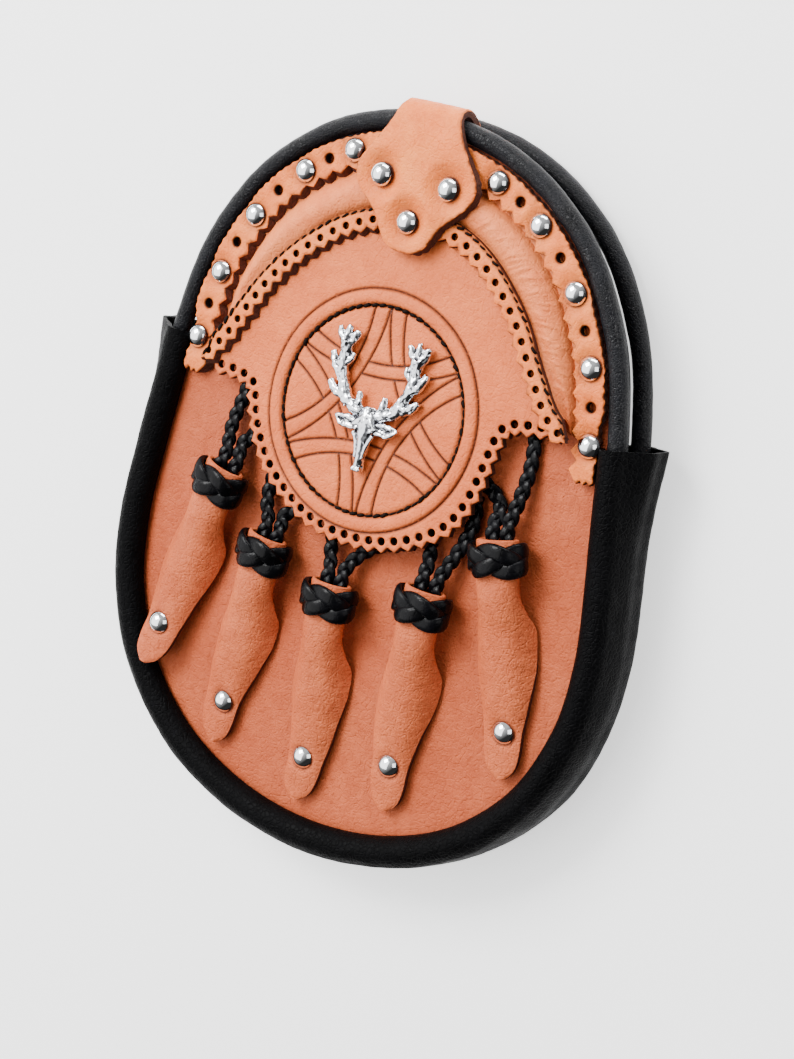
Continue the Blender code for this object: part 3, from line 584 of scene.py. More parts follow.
EDGE = raw_edge("raw_edge", (0.016, 0.005, 0.003, 1), (0.12, 0.033, 0.017, 1))
# near-black walls inside the punched holes: painted shade, so the holes look dark
HOLE_WALL_SHADE = raw_edge("hole_wall_painted_shade", (0.004, 0.002, 0.002, 1), (0.02, 0.006, 0.004, 1))
CHROME = chrome("chrome_polished", 0.06, 0.02, (0.93, 0.94, 0.96, 1))
CAST_CHROME = chrome("chrome_cast", 0.08, 0.25, (0.76, 0.78, 0.83, 1))
DARK_THREAD = thread("thread_dark", (0.002, 0.0016, 0.0016, 1), (0.012, 0.006, 0.004, 1))


# Meshes

WALL_ROWS = 2  # rows of points between a cut edge's top and its foot
WALL_ROUGH = 0.12 * MM


def add_object(name, data):
    made = bpy.data.objects.new(name, data)
    bpy.context.scene.collection.objects.link(made)
    return made


def show(name, points, faces, finishes, looks=(), dark=None, sharp=50):
    """An object from points and faces; looks gives each face's place in the list of finishes."""
    mesh = bpy.data.meshes.new(name)
    mesh.from_pydata([tuple(p) for p in points], [], [tuple(int(i) for i in face) for face in faces])
    for finish in finishes:
        mesh.materials.append(finish)
    if len(looks):
        mesh.polygons.foreach_set("material_index", np.asarray(looks, np.int32))
    values = np.zeros(len(points)) if dark is None else np.clip(dark, 0, 1)
    mesh.attributes.new("dark", "FLOAT", "POINT").data.foreach_set("value", values.astype(np.float32))
    mesh.shade_smooth()
    mesh.set_sharp_from_angle(angle=math.radians(sharp))
    mesh.update()
    return add_object(name, mesh)


def dress(piece, slot, *nodes):
    """Fixes a piece to the pouch and lets it stand for the plain solids named; slot is not used."""
    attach(piece, "root")
    if nodes:
        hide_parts(*nodes)
    return piece


def ring_faces(rings, sides, closed=False, start=0):
    """The quads between rings of points, one ring after another."""
    found = []
    for i in range(rings if closed else rings - 1):
        here = start + i * sides
        after = start + (i + 1) % rings * sides
        for k in range(sides):
            right = (k + 1) % sides
            found.append((here + k, here + right, after + right, after + k))
    return found


def ccw(loop):
    """The loop, turned so that it runs anticlockwise."""
    x, y = loop[:, 0], loop[:, 1]
    area = np.sum(x * np.roll(y, -1) - np.roll(x, -1) * y)
    return loop if area > 0 else loop[::-1]


def sheet(
    name, outline, top, thickness, finish, place=lift, holes=(), pitch=2 * MM, guides=(), rounding=0.4 * MM,
    dark=None, edge=EDGE, seed=0.0, lean=None,
):
    """A piece of leather cut to an outline and punched, with rounded edges and rough cut walls.

    top(points) gives the height of its upper face, and place brings (x, y, height) to the part's frame.
    lean(points) gives how far the wall's foot stands out beyond its top.
    """
    loops = [ccw(np.asarray(loop, float)) for loop in (outline, *holes)]
    borders = [closed_loop(loop) for loop in loops]
    round_holes = [(hole.mean(axis=0), np.linalg.norm(hole[0] - hole.mean(axis=0))) for hole in loops[1:]]
    low, high = loops[0].min(axis=0), loops[0].max(axis=0)
    xs, ys = np.meshgrid(np.arange(low[0], high[0], pitch), np.arange(low[1], high[1], 0.866 * pitch))
    xs[1::2] += pitch / 2
    candidates = [np.column_stack([xs.ravel(), ys.ravel()]), *guides]
    for number, loop in enumerate(loops):
        inwards = 1 if number == 0 else -1
        for share in (0.3, 1.0):
            candidates.append(beside(wrapped(loop), inwards * share * rounding)[1:-1])
    free = np.vstack(candidates)
    _, first = np.unique(np.round(free / (0.16 * MM)).astype(int), axis=0, return_index=True)
    free = free[np.sort(first)]
    keep = inside(free, loops[0]) & (nearest(free, borders) > 0.25 * rounding)
    for centre, radius in round_holes:
        keep &= apart(free, centre) > radius
    flat = np.vstack([*loops, free[keep]])
    edges = []
    start = 0
    for loop in loops:
        edges += [(start + i, start + (i + 1) % len(loop)) for i in range(len(loop))]
        start += len(loop)
    corners, _, faces, origins, _, _ = delaunay_2d_cdt([Vector(p) for p in flat], edges, [], 1, 1e-8)
    corners = np.array([tuple(p) for p in corners])
    index = {source: number for number, sources in enumerate(origins) for source in sources}
    faces = np.array([face for face in faces if len(face) == 3])
    middles = corners[faces].mean(axis=1)
    kept = np.ones(len(faces), bool)
    for centre, radius in round_holes:
        kept &= apart(middles, centre) > 0.97 * radius
    faces = faces[kept]
    near = np.clip(nearest(corners, borders), 0, rounding)
    drop = rounding - np.sqrt(np.maximum(rounding**2 - (rounding - near) ** 2, 0))
    heights = top(corners)
    count = len(corners)
    low_corners = corners.copy()
    points = [place(np.column_stack([corners, heights - drop])), None]
    quads = []
    taken = 0
    start = 2 * count
    for number, loop in enumerate(loops):
        ids = np.array([index[taken + i] for i in range(len(loop))])
        taken += len(loop)
        line = corners[ids]
        out = beside(wrapped(line), 1.0)[1:-1] - line
        foot = np.zeros(len(ids))
        if number == 0:
            out = -out
            if lean is not None:
                foot = lean(line) * (0.75 + 0.5 * waves(line, 1.7 * MM, seed + 5))
        low_corners[ids] += out * foot[:, None]
        levels = [ids]
        for row in range(1, WALL_ROWS + 1):
            share = row / (WALL_ROWS + 1)
            height = (heights[ids] - rounding) * (1 - share) + (heights[ids] - thickness) * share
            shift = foot * share + WALL_ROUGH * waves(np.column_stack([line, height]), 1.1 * MM, seed + row)
            points.append(place(np.column_stack([line + out * shift[:, None], height])))
            levels.append(start + np.arange(len(ids)))
            start += len(ids)
        levels.append(ids + count)
        for one, two in zip(levels, levels[1:]):
            wall = zip(one, two, np.roll(two, -1), np.roll(one, -1))
            quads += [quad if number == 0 else quad[::-1] for quad in wall]
    points[1] = place(np.column_stack([low_corners, heights - thickness]))
    points = np.vstack(points)
    rim_quads = (WALL_ROWS + 1) * len(loops[0])
    looks = [0] * len(faces) + [1] * (len(faces) + rim_quads) + [2] * (len(quads) - rim_quads)
    shade = np.zeros(len(points))
    if dark is not None:
        shade[:count] = dark(corners)
    faces = [*faces, *(faces + count)[:, ::-1], *quads]
    return show(name, points, faces, [finish, edge, HOLE_WALL_SHADE], looks, shade)


def sweep(path, sides, radii, normals, squash=1.0, power=2.0):
    """Rings of points round a path: each is `sides` points of an oval, `squash` as high as it is wide."""
    ahead = unit(heading(path))
    across = unit(np.cross(ahead, normals))
    up = np.cross(across, ahead)
    turns = turns_of(sides)
    wide, high = [np.sign(wave(turns)) * np.abs(wave(turns)) ** (2 / power) for wave in (np.cos, np.sin)]
    rings = across[:, None] * wide[None, :, None] + squash * up[:, None] * high[None, :, None]
    return path[:, None] + np.reshape(radii, (-1, 1, 1)) * rings


class Pile:
    """Points and faces of several shapes that make one piece."""

    def __init__(self):
        self.points = []
        self.faces = []
        self.count = 0

    def add(self, rings, closed=False):
        """Rings of points, each joined to the next; two ends that don't meet are capped."""
        rows, columns = rings.shape[:2]
        self.faces += ring_faces(rows, columns, closed, self.count)
        if not closed:
            first = tuple(self.count + i for i in range(columns))
            last = tuple(self.count + (rows - 1) * columns + i for i in range(columns))
            self.faces += [first[::-1], last]
        self.points.append(rings.reshape(-1, 3))
        self.count += rows * columns

    def piece(self, name, finish, sharp):
        made = show(name, np.vstack(self.points), self.faces, [finish], sharp=sharp)
        outwards(made)
        return made


def outwards(piece):
    """Turns each closed shape's faces outwards."""
    bm = bmesh.new()
    bm.from_mesh(piece.data)
    bmesh.ops.recalc_face_normals(bm, faces=bm.faces)
    bm.to_mesh(piece.data)
    bm.free()


def ringed(name, rings, finish, sharp, closed=False):
    """A piece that is one run of rings."""
    pile = Pile()
    pile.add(rings, closed)
    return pile.piece(name, finish, sharp)


# The pouch


def panel_top(points):
    edge = nearest(points, [CLOSED_OUTLINE], 1 * MM)
    return uneven(points, 0, (0.22, 22, 0), (0.1, 6, 0)) - 0.4 * MM * (1 - ease(0, 5 * MM, edge))


def make_panels():
    outline = rim(np.linspace(0, 1, 301)[:-1], -0.5 * CLEAR)

    # painted shade along the panel's rim, where it meets the piping
    def dark(points):
        return 0.25 * (1 - ease(0, 3 * MM, nearest(points, [CLOSED_OUTLINE], 1 * MM)))

    def back_top(points):
        return np.full(len(points), BACK_FACE + PANEL_T)

    front = sheet("front_panel_skin", outline, panel_top, PANEL_T - 0.5 * MM, TAN, pitch=1.8 * MM, dark=dark)
    dress(front, "tan_leather", "front_panel")
    back = sheet(
        "back_panel_skin", outline, back_top, PANEL_T, BACK_BLACK, pitch=3 * MM, edge=BACK_BLACK
    )
    dress(back, "back_leather", "back_panel")


def make_pipings():
    stations = np.linspace(0, 1, 441)[:-1]
    around = PERIMETER * stations
    axis, out = rim_and_outwards(stations, PIPING_R)
    for name, height in (("front_piping", PIPING_RISE), ("back_piping", BACK_AXIS)):
        rings = []
        for a in turns_of(20):
            unrolled = np.column_stack([around, 0 * around + a * 2.2 * MM])
            radius = uneven(unrolled, PIPING_R - 0.1 * MM, (0.12, 3.2, 5), (0.14, 14, 9))
            spot = axis + out * (radius * math.cos(a))[:, None]
            rings.append(lift(np.column_stack([spot, height + radius * math.sin(a)])))
        piping = ringed(f"{name}_leather", np.stack(rings, axis=1), PIPED_BLACK, 80, closed=True)
        dress(piping, "black_leather", name)


def gusset_profile(stand, flare, inset):
    """The gusset's outer or inner face as (outwards, height), from the front panel round to the back one."""
    radius = GUSSET_OUTER_R - inset
    turns = np.radians(np.linspace(183, 24, 9))
    front = np.column_stack([PIPING_R + radius * np.cos(turns), PIPING_RISE + radius * np.sin(turns)])
    back = np.column_stack([PIPING_R + radius * np.cos(turns), BACK_AXIS - radius * np.sin(turns)])[::-1]
    side = PIPING_R + radius + stand + 0.8 * flare
    wall = [(side, PIPING_RISE - share * MOUTH) for share in (0.2, 0.5, 0.8)]
    return smooth(np.vstack([front, wall, back]), steps=3)


def make_gusset():
    end = rim_share(GUSSET_TOP)
    stations = np.linspace(end, 1 - end, 300)
    base, out = rim_and_outwards(stations)
    rows = []
    for i, share in enumerate(stations):
        from_end = min(share - end, 1 - end - share) * PERIMETER
        flare = GUSSET_FLARE * max(0, 1 - from_end / FLARE_RUN) ** 2
        stand = GUSSET_SIDE * out[i, 0] ** 2
        outer = gusset_profile(stand, flare, 0.12 * MM)
        inner = gusset_profile(stand, flare, GUSSET_T)
        across = lengths(outer)
        spot = np.column_stack([0 * across + share * PERIMETER, across])
        fold = 0.4 * MM * waves(spot / (2.6, 1), 7 * MM, 3) + 0.12 * MM * waves(spot, 3 * MM, 8)
        swell = (fold - 0.3 * MM) * np.sin(np.linspace(0, math.pi, len(outer))) ** 0.5
        outer[:, 0] += swell
        inner[:, 0] += np.minimum(swell, 0)
        ring = np.vstack([outer, inner[::-1]])
        spots = base[i] + out[i] * ring[:, :1]
        rows.append(lift(np.column_stack([spots, ring[:, 1]])))
    dress(ringed("gusset_leather", np.stack(rows), BLACK, 45), "black_leather", "gusset")


# The bands, the crescent and the flap


def dimpled(height, points, centres, radius, reach, depth):
    """The height, with the leather pulled down round rivets or holes."""
    for centre in centres:
        height = height - depth * (1 - ease(radius, reach, apart(points, centre)))
    return height


def rivet_painted_shade(points, centre):
    """How dark the leather is painted round a rivet: painted shade under its rim, then a soft ring of painted
    shade in its dimple.
    """
    away = apart(points, centre)
    # painted shade under the cap's overhanging rim
    grime_and_painted_shade = 1 - ease(RIVET_SHADE_RADII[0], RIVET_SHADE_RADII[1], away)
    return 0.7 * grime_and_painted_shade + 0.25 * (1 - ease(RIVET_SHADE_RADII[1] - 0.1 * MM, RIVET_SHADE_RADII[2], away))


def edge_painted_shade(points, loop, amount):
    """How dark a cut edge's rim is painted, in ragged stretches: painted shade along the edge and the gap
    beside it.
    """
    away = nearest(points, [closed_loop(loop)], 0.3 * MM)
    return amount * (1 - ease(0.1 * MM, 0.6 * MM, away)) * ease(-0.15, 0.25, waves(points, 1.9 * MM, 61))


def band_places():
    """The middles of the outer band's rivets and holes on the right side, top to bottom."""
    end = rim_share(BAND_END)
    middle = rim(np.linspace(0, end, 41), -RIVET_IN)
    tab_side = 0.5 * TAB_W / lengths(middle)[-1]
    rivets = tab_side + (1 - tab_side) * np.array(RIVET_SHARES)
    return at(middle, rivets), at(middle, (rivets[:-1] + rivets[1:]) / 2)


def end_teeth(start, end, teeth, depth, reach):
    """A band's short end, pinked; its two corners are left out."""
    return pinked(np.array([start, end]), np.linalg.norm(end - start) / teeth, depth, reach)[1:-1]


def outer_band_outline():
    """The band's outline: along the piping, then its pinked ends and its pinked inner edge."""
    end = rim_share(BAND_END)
    beside_gusset = rim_share(GUSSET_TOP + 4 * MM)
    shares = np.unique(np.concatenate([np.linspace(-end, end, 420), [-beside_gusset, beside_gusset]]))
    around = PERIMETER * shares
    amount = 0.6 + 0.4 * waves(np.column_stack([around, 0 * around]), 7 * MM)
    trimmed = 0.3 * MM * (1 + np.sin(2 * math.pi * around / TRIM_WAVE)) * amount
    to_gusset = (beside_gusset - np.abs(shares)) * PERIMETER
    edge = rim(shares, -CLEAR - (BAND_TUCK - CLEAR) * (1 - ease(0, 7 * MM, to_gusset)) - trimmed)
    inner = rim(np.linspace(end, -end, 41), -BAND_W)
    teeth = pinked(inner, BAND_TOOTH, BAND_TOOTH_DEPTH, BAND_TOOTH_DEPTH)
    depth = 0.6 * BAND_TOOTH_DEPTH
    first = end_teeth(edge[-1], teeth[0], 3, depth, depth)
    last = end_teeth(teeth[-1], edge[0], 3, depth, depth)
    return cut_line([edge, first, teeth, last], 0.9 * MM)


def make_outer_band():
    rivets, between = [np.vstack([found, found * (-1, 1)]) for found in band_places()]
    holes = [circle(p, BAND_HOLE_D / 2, 20) for p in between]
    outline = outer_band_outline()

    def lean(points):
        inner_edge = nearest(points, [CLOSED_OUTLINE], 0.5 * MM) > BAND_W - 0.8 * MM
        return EDGE_LEAN * inner_edge * ease(8 * MM, -16 * MM, points[:, 0])

    def top(points):
        height = uneven(points, BAND_SEAT + BAND_T, (0.25, 9, 4), (0.1, 3, 6))
        height = dimpled(height, points, rivets, 3.2 * MM, 6.8 * MM, 0.95 * MM)
        return dimpled(height, points, between, 1.6 * MM, 3.6 * MM, 0.45 * MM)

    def dark(points):
        found = [edge_painted_shade(points, outline, 0.85)]
        found += [rivet_painted_shade(points, p) for p in rivets]
        # painted shade round the rim of each punched hole
        found += [0.85 * (1 - ease(1.5 * MM, 2.2 * MM, apart(points, p))) for p in between]
        return np.max(found, axis=0)

    rings = [circle(p, r * MM, 28) for p in rivets for r in (3.4, 4.2, 5.2, 6.4)]
    rings += [circle(p, r * MM, 20) for p in between for r in (2.0, 2.6, 3.4)]
    band = sheet(
        "outer_band_leather", outline, top, BAND_T, BAND_TAN, holes=holes, pitch=1.3 * MM,
        guides=rings, dark=dark, seed=2, lean=lean,
    )
    dress(band, "tan_leather", "outer_band")


ARCH_LINE = smooth(np.array(ARCH_ROW) * MM, steps=6)  # the inner band's row of holes, left end to right end


def band_reach(line):
    """How far the inner band reaches outwards from its holes: less where the outer band's end is near."""
    room = nearest(line, [CLOSED_OUTLINE], 0.5 * MM) - BAND_W - BAND_TOOTH_DEPTH
    room -= EDGE_LEAN * ease(0, -20 * MM, line[:, 0])
    return np.clip(room, 0.9 * MM, INNER_BAND_OUT)


def seam_line():
    line = spaced(ARCH_LINE, 241)
    return beside(line, band_reach(line) - (INNER_BAND_OUT - SEAM_OUT))


HINGE = Vector((0, FLAP_HINGE_Y + CENTRE_SHIFT, CLEAR - FLOOR))
FLAP_PLACE = Matrix.Translation(HINGE) @ Matrix.Rotation(-FLAP_TILT, 4, "X") @ Matrix.Translation(-HINGE)


def on_flap(points):
    """Points given as on a flat pouch, tilted as the flap is."""
    return moved(lift(points), FLAP_PLACE)


def pointing(direction):
    """The unit vector at an angle in degrees."""
    return np.array((math.cos(math.radians(direction)), math.sin(math.radians(direction))))


def strap_lines():
    """The tooled straps' lines on the medallion, each cut where another strap passes over it."""
    centre = np.array((TOOLED_X, MEDALLION_Y))
    lines = []
    for name, direction in STRAP_DIRECTIONS.items():
        for out, radius in (STRAP_FAR, STRAP_NEAR):
            turns = math.radians(direction + 180) + np.linspace(-0.75, 0.75, 500)
            arc = np.stack([np.cos(turns), np.sin(turns)], axis=1) * radius
            arc = centre + pointing(direction) * out + arc
            shown = apart(arc, centre) < STITCH_R - 0.6 * MM
            for other in STRAP_OVER[name]:
                shown &= ~under_strap(arc - centre, STRAP_DIRECTIONS[other])
            runs = np.split(arc, np.flatnonzero(np.diff(shown)) + 1)
            lines += [run for run in runs[0 if shown[0] else 1 :: 2] if len(run) > 4]
    return lines


def under_strap(points, direction):
    """Which points lie between the two lines of the strap at this direction."""
    outside_far = apart(points, pointing(direction) * STRAP_FAR[0]) > STRAP_FAR[1]
    inside_near = apart(points, pointing(direction) * STRAP_NEAR[0]) < STRAP_NEAR[1]
    return outside_far & inside_near


def rows_along(line, offsets, step):
    """Rows of points on a line and this many mm to each side of it, for a mesh that follows it closely."""
    line = spaced(line, max(int(lengths(line)[-1] / step), 3))
    return [beside(line, offset * MM) for offset in (*(-one for one in offsets[::-1]), 0, *offsets)]


def punched_row(line, pitch, reach, depth, hole, sides):
    """Teeth to the right of a line and the holes on it, a hole to each tooth."""
    stations = spaced(line, 2 * round(lengths(line)[-1] / pitch) + 1)
    teeth = beside(stations, [-(reach - depth * (i % 2 == 0)) for i in range(len(stations))])
    return teeth, [circle(p, hole / 2, sides) for p in stations[1::2]]


def make_flap():
    line = smooth(np.array(FLAP_ROW) * MM, steps=6)
    teeth, holes = punched_row(line, FLAP_PITCH, FLAP_EDGE, FLAP_TOOTH_DEPTH, FLAP_HOLE_D, 18)
    upper = beside(spaced(ARCH_LINE, 65), -CLEAR)
    top_edge = upper[upper[:, 1] > line[0, 1] + 0.5 * FLAP_PITCH]
    outline = cut_line([teeth, top_edge[::-1]], 0.8 * MM)
    centre = np.array((TOOLED_X, MEDALLION_Y))
    straps = strap_lines()

    def top(points):
        height = uneven(points, CLEAR + FLAP_T, (0.22, 17, 11), (0.07, 4, 2))
        away = apart(points, centre)
        band = np.clip((away - STITCH_R) / (RING_R - STITCH_R), 0, 1)
        height += 0.55 * MM * np.sin(math.pi * band) ** 0.6
        height -= GROOVE_DEPTH * bell(nearest(points, straps), GROOVE_W)
        height -= 0.45 * MM * bell(away - RING_R, 0.45 * MM)
        height -= 0.8 * MM * bell(away - STITCH_R, 0.75 * MM)
        return height

    def dark(points):
        away = apart(points, centre)
        found = np.maximum(edge_painted_shade(points, outline, 0.7), bell(nearest(points, straps), 0.46 * MM))
        found = np.maximum(found, 0.95 * bell(away - RING_R, 0.48 * MM))
        return np.maximum(found, bell(away - STITCH_R, 0.62 * MM))

    guides = []
    for strap in straps:
        guides += rows_along(strap, (0.2, 0.42, 0.8), 0.7 * MM)
    guides += rows_along(closed_loop(circle(centre, RING_R, 240)), (0.2, 0.45, 0.9), 0.9 * MM)
    guides += rows_along(closed_loop(circle(centre, STITCH_R, 200)), (0.3, 0.6, 1.2), 0.8 * MM)
    flap = sheet(
        "flap_leather", outline, top, FLAP_T, FLAP_TAN, on_flap, holes, 1.5 * MM, guides, dark=dark, seed=4
    )
    dress(flap, "tan_leather", "flap")


def make_inner_band():
    teeth, holes = punched_row(
        ARCH_LINE, INNER_PITCH, INNER_BAND_IN, INNER_TOOTH_DEPTH, INNER_HOLE_D, 16
    )
    upper = spaced(ARCH_LINE, 121)
    stitched = beside(upper, band_reach(upper))
    depth = 0.8 * INNER_TOOTH_DEPTH
    right_end = end_teeth(teeth[-1], stitched[-1], 2, depth, 0)
    left_end = end_teeth(stitched[0], teeth[0], 2, depth, 0)
    outline = cut_line([teeth, right_end, stitched[::-1], left_end], 0.8 * MM)
    seat = FLAP_T + 2 * CLEAR
    seam = seam_line()

    def lean(points):
        inner_edge = nearest(points, [ARCH_LINE], 0.5 * MM) < INNER_BAND_IN + 0.2 * MM
        upper_edge = nearest(points, [stitched], 0.5 * MM) < 0.3 * MM
        to_left = 0.2 + 0.8 * ease(8 * MM, -16 * MM, points[:, 0])
        return 0.75 * EDGE_LEAN * (inner_edge & ~upper_edge) * to_left

    def top(points):
        height = uneven(points, seat + INNER_BAND_T, (0.2, 8, 21), (0.08, 2.5, 0))
        return height - 0.5 * MM * bell(nearest(points, [seam]), 0.5 * MM)

    def dark(points):
        return np.maximum(edge_painted_shade(points, outline, 0.85), 0.7 * bell(nearest(points, [seam]), 0.5 * MM))

    band = sheet(
        "inner_band_leather", outline, top, INNER_BAND_T, BAND_TAN, on_flap, holes, 1.2 * MM,
        rows_along(seam, (0.25, 0.5, 0.9), 0.9 * MM), rounding=0.35 * MM, dark=dark, seed=6, lean=lean,
    )
    dress(band, "tan_leather", "inner_band")


def make_crescent():
    """The padded roll between the bands, smooth on the left and wrinkled across on the right."""
    end = rim_share(ROLL_END)
    arch = spaced(ARCH_LINE, 241)
    stitched = beside(arch, band_reach(arch) + CLEAR)
    rows = []
    steps = 420
    for i in range(steps + 1):
        share = i / steps
        place = ROLL_ARCH_START + (1 - 2 * ROLL_ARCH_START) * share
        inner = at(arch, place)
        shown = at(stitched, place)
        round_share = end * (2 * share - 1)
        outer = rim(round_share, -ROLL_MARGIN)
        edge = rim(round_share, -BAND_W - BAND_TOOTH_DEPTH - CLEAR)
        seat = on_flap([(*shown, FLAP_T + CLEAR)])[0, 2] + FLOOR
        under = on_flap([(*inner, FLAP_T + CLEAR)])[0, 2] + FLOOR
        crown = ROLL_CROWN * min(1, np.linalg.norm(shown - edge) / ROLL_FULL_W)
        profile = [(0.0, CLEAR + ROLL_MARGIN_T)]
        valley = 0.06 * ease(0, -25 * MM, shown[0])
        profile += [(along + valley, max(crown * rise, seat * along)) for along, rise in ROLL_SHARES]
        profile += [(1.0, seat)]
        profile = smooth(profile, steps=7)
        spots = edge + (shown - edge) * profile[:, :1]
        dome = np.column_stack([spots, profile[:, 1]])
        across = profile[:, 0] * np.linalg.norm(shown - edge)
        along = round_share * PERIMETER * 0.85 + 0.5 * across
        crease = 2 * np.abs(waves(np.column_stack([along, 0.26 * across]), 1.7 * MM, 31)) - 0.5
        crease += 0.6 * waves(np.column_stack([along, 0.4 * across]), 4.5 * MM, 32)
        swell = waves(spots, 11 * MM, 33)
        amount = 0.12 + 0.88 * ease(4 * MM, 34 * MM, spots[:, 0])
        hump = np.sin(math.pi * np.clip(profile[:, 0], 0, 1)) ** 0.7
        dome[:, 2] += hump * (0.46 * MM * amount * crease + 0.3 * MM * swell)
        back = [(*inner, under), (*inner, CLEAR), (*outer, CLEAR)]
        rows.append(lift(np.vstack([[(*outer, CLEAR + ROLL_MARGIN_T)], dome, back])))
    roll = ringed("crescent_leather", np.stack(rows), ROLL_TAN, 60)
    dress(roll, "tan_leather", "crescent_roll")


# The tab


def tab_path():
    """The tab's underside as points in the YZ plane, from its tip over the edge into the mouth."""
    top = 0.5 * PANEL_H
    centre = np.array((top + PIPING_R, PIPING_RISE))
    radius = PIPING_R + 0.4 * MM
    inside_back = BACK_FACE + PANEL_T + CLEAR + TAB_T
    points = [
        (TAB_TIP_Y, TAB_SEAT),
        (top - TAB_BEND, TAB_SEAT),
        (top - 0.4 * TAB_BEND, 0.5 * (TAB_SEAT + centre[1] + radius)),
    ]
    points += [tuple(centre + pointing(a) * radius) for a in (100, 60, 20, -20)]
    points += [
        (top + 0.58 * PIPING_D, 0.5 * (inside_back + PIPING_RISE - PIPING_R)),
        (top, inside_back + 0.27 * TAB_T),
        (top - 0.25 * TAB_LEG, inside_back),
        (top - TAB_LEG, inside_back),
    ]
    return smooth(points, steps=12)


TAB_LINE = tab_path()
TAB_ALONG = lengths(TAB_LINE)


def on_tab(points):
    """Brings (across, along, height) to the bent tab."""
    points = np.asarray(points, float)
    left = beside(TAB_LINE, 1.0) - TAB_LINE
    base = np.stack([np.interp(points[:, 1], TAB_ALONG, TAB_LINE[:, k]) for k in (0, 1)], axis=1)
    normal = np.stack([np.interp(points[:, 1], TAB_ALONG, left[:, k]) for k in (0, 1)], axis=1)
    before = np.minimum(points[:, 1:2], 0)
    spot = base + normal * points[:, 2:3] + before * (1, 0)
    return lift(np.column_stack([points[:, 0], spot]))


def make_tab():
    side = smooth([(out * TAB_W, up * TAB_W) for up, out in TAB_SHARES], steps=6)
    neck = np.array([(TAB_NECK * TAB_W, s) for s in np.linspace(side[-1, 1] + 4 * MM, TAB_ALONG[-1], 24)])
    right = np.vstack([side, neck])
    outline = cut_line([right, mirrored(right)], 0.9 * MM)
    seats = np.array([(across * TAB_W, up * TAB_W) for across, up in TAB_RIVETS])
    cut = closed_loop(outline)

    def top(points):
        from_edge = ease(0, 5 * MM, nearest(points, [cut], MM))
        puff = TAB_PUFF * (1 - ease(30 * MM, 40 * MM, points[:, 1])) * from_edge
        height = uneven(points, TAB_T - 0.3 * MM + puff, (0.35, 9, 41), (0.1, 3, 42))
        return dimpled(height, points, seats, 3.0 * MM, 8.6 * MM, 1.9 * MM)

    def lean(points):
        to_right = ease(-2 * MM, 9 * MM, points[:, 0])
        return 0.7 * EDGE_LEAN * to_right * (1 - ease(24 * MM, 34 * MM, points[:, 1]))

    def dark(points):
        found = edge_painted_shade(points, outline, 0.8)
        for p in seats:
            # painted shade on each dimple's upper-left wall, added to the painted shade round the rivet
            to_painted_shade = np.linalg.norm(points - p - TAB_SHADE_OFFSET, axis=1)
            found = np.maximum(found, rivet_painted_shade(points, p) + 0.22 * bell(to_painted_shade, 3.4 * MM))
        return found

    rings = [circle(p, r * MM, 30) for p in seats for r in (3.4, 4.0, 4.8, 6.0, 7.4, 8.8)]
    tab = sheet(
        "tab_leather", outline, top, TAB_T - 0.3 * MM, BAND_TAN, on_tab, (), 1.2 * MM, rings,
        dark=dark, seed=8, lean=lean,
    )
    dress(tab, "tan_leather", "tab")


# Rivets


def rivet(name, place):
    """A shallow domed cap whose rim overhangs its dimple, leaning a little its own way."""
    radius = RIVET_D / 2
    spot = place.translation.copy()
    for side, axis in ((0, "X"), (5, "Y")):
        lean = math.radians(9 * noise.noise(spot / (17 * MM) + Vector((7, side, 0))))
        place = place @ Matrix.Rotation(lean, 4, axis)
    rise = RIVET_H - 0.25 * MM
    dome = (radius**2 + rise**2) / (2 * rise)
    foot = ((0.8, -1.2), (0.84, -0.3), (0.975, -0.12))
    profile = [(share, height * MM - RIVET_SINK) for share, height in foot]
    for a in np.linspace(math.asin(radius / dome), 0.02, 11):
        profile.append((dome * math.sin(a) / radius, rise - RIVET_SINK - dome * (1 - math.cos(a))))
    around = circle((0, 0), 1, 32)
    rings = [np.column_stack([around * share * radius, np.full(len(around), z)]) for share, z in profile]
    cap = ringed(f"{name}_cap", moved(np.stack(rings), place), CHROME, 60)
    dress(cap, "bright_metal", name)


def make_rivets():
    for number, (x, y) in enumerate(band_places()[0], 1):
        for side, letter in SIDES:
            seat = lift([(side * x, y, BAND_SEAT + BAND_T + CLEAR)])[0]
            rivet(f"band_rivet_{letter}{number}", Matrix.Translation(seat))
    for number, (across, up) in enumerate(TAB_RIVETS, 1):
        seat = lift([(across * TAB_W, TAB_TIP_Y + up * TAB_W, TAB_SEAT + TAB_T + CLEAR)])[0]
        rivet(f"tab_rivet_{number}", Matrix.Translation(seat))
    for side, letter in SIDES:
        for number, end in enumerate((-1, 1), 1):
            y = LOOP_Y + end * (LOOP_L / 2 - 0.45 * LOOP_PAD)
            seat = lift([(side * LOOP_X, y, BACK_FACE - 2 * CLEAR - LOOP_T)])[0]
            rivet(f"loop_rivet_{letter}{number}", Matrix.Translation(seat) @ Matrix.Rotation(math.pi, 4, "X"))


# Tassels


def tassel_place(x, y, lean):
    """The tassel's own frame: -Y along its leaf, +Z off the panel, origin under its knot."""
    return Matrix.Translation(lift([(x, y, 0)])[0]) @ Matrix.Rotation(math.radians(lean), 4, "Z")


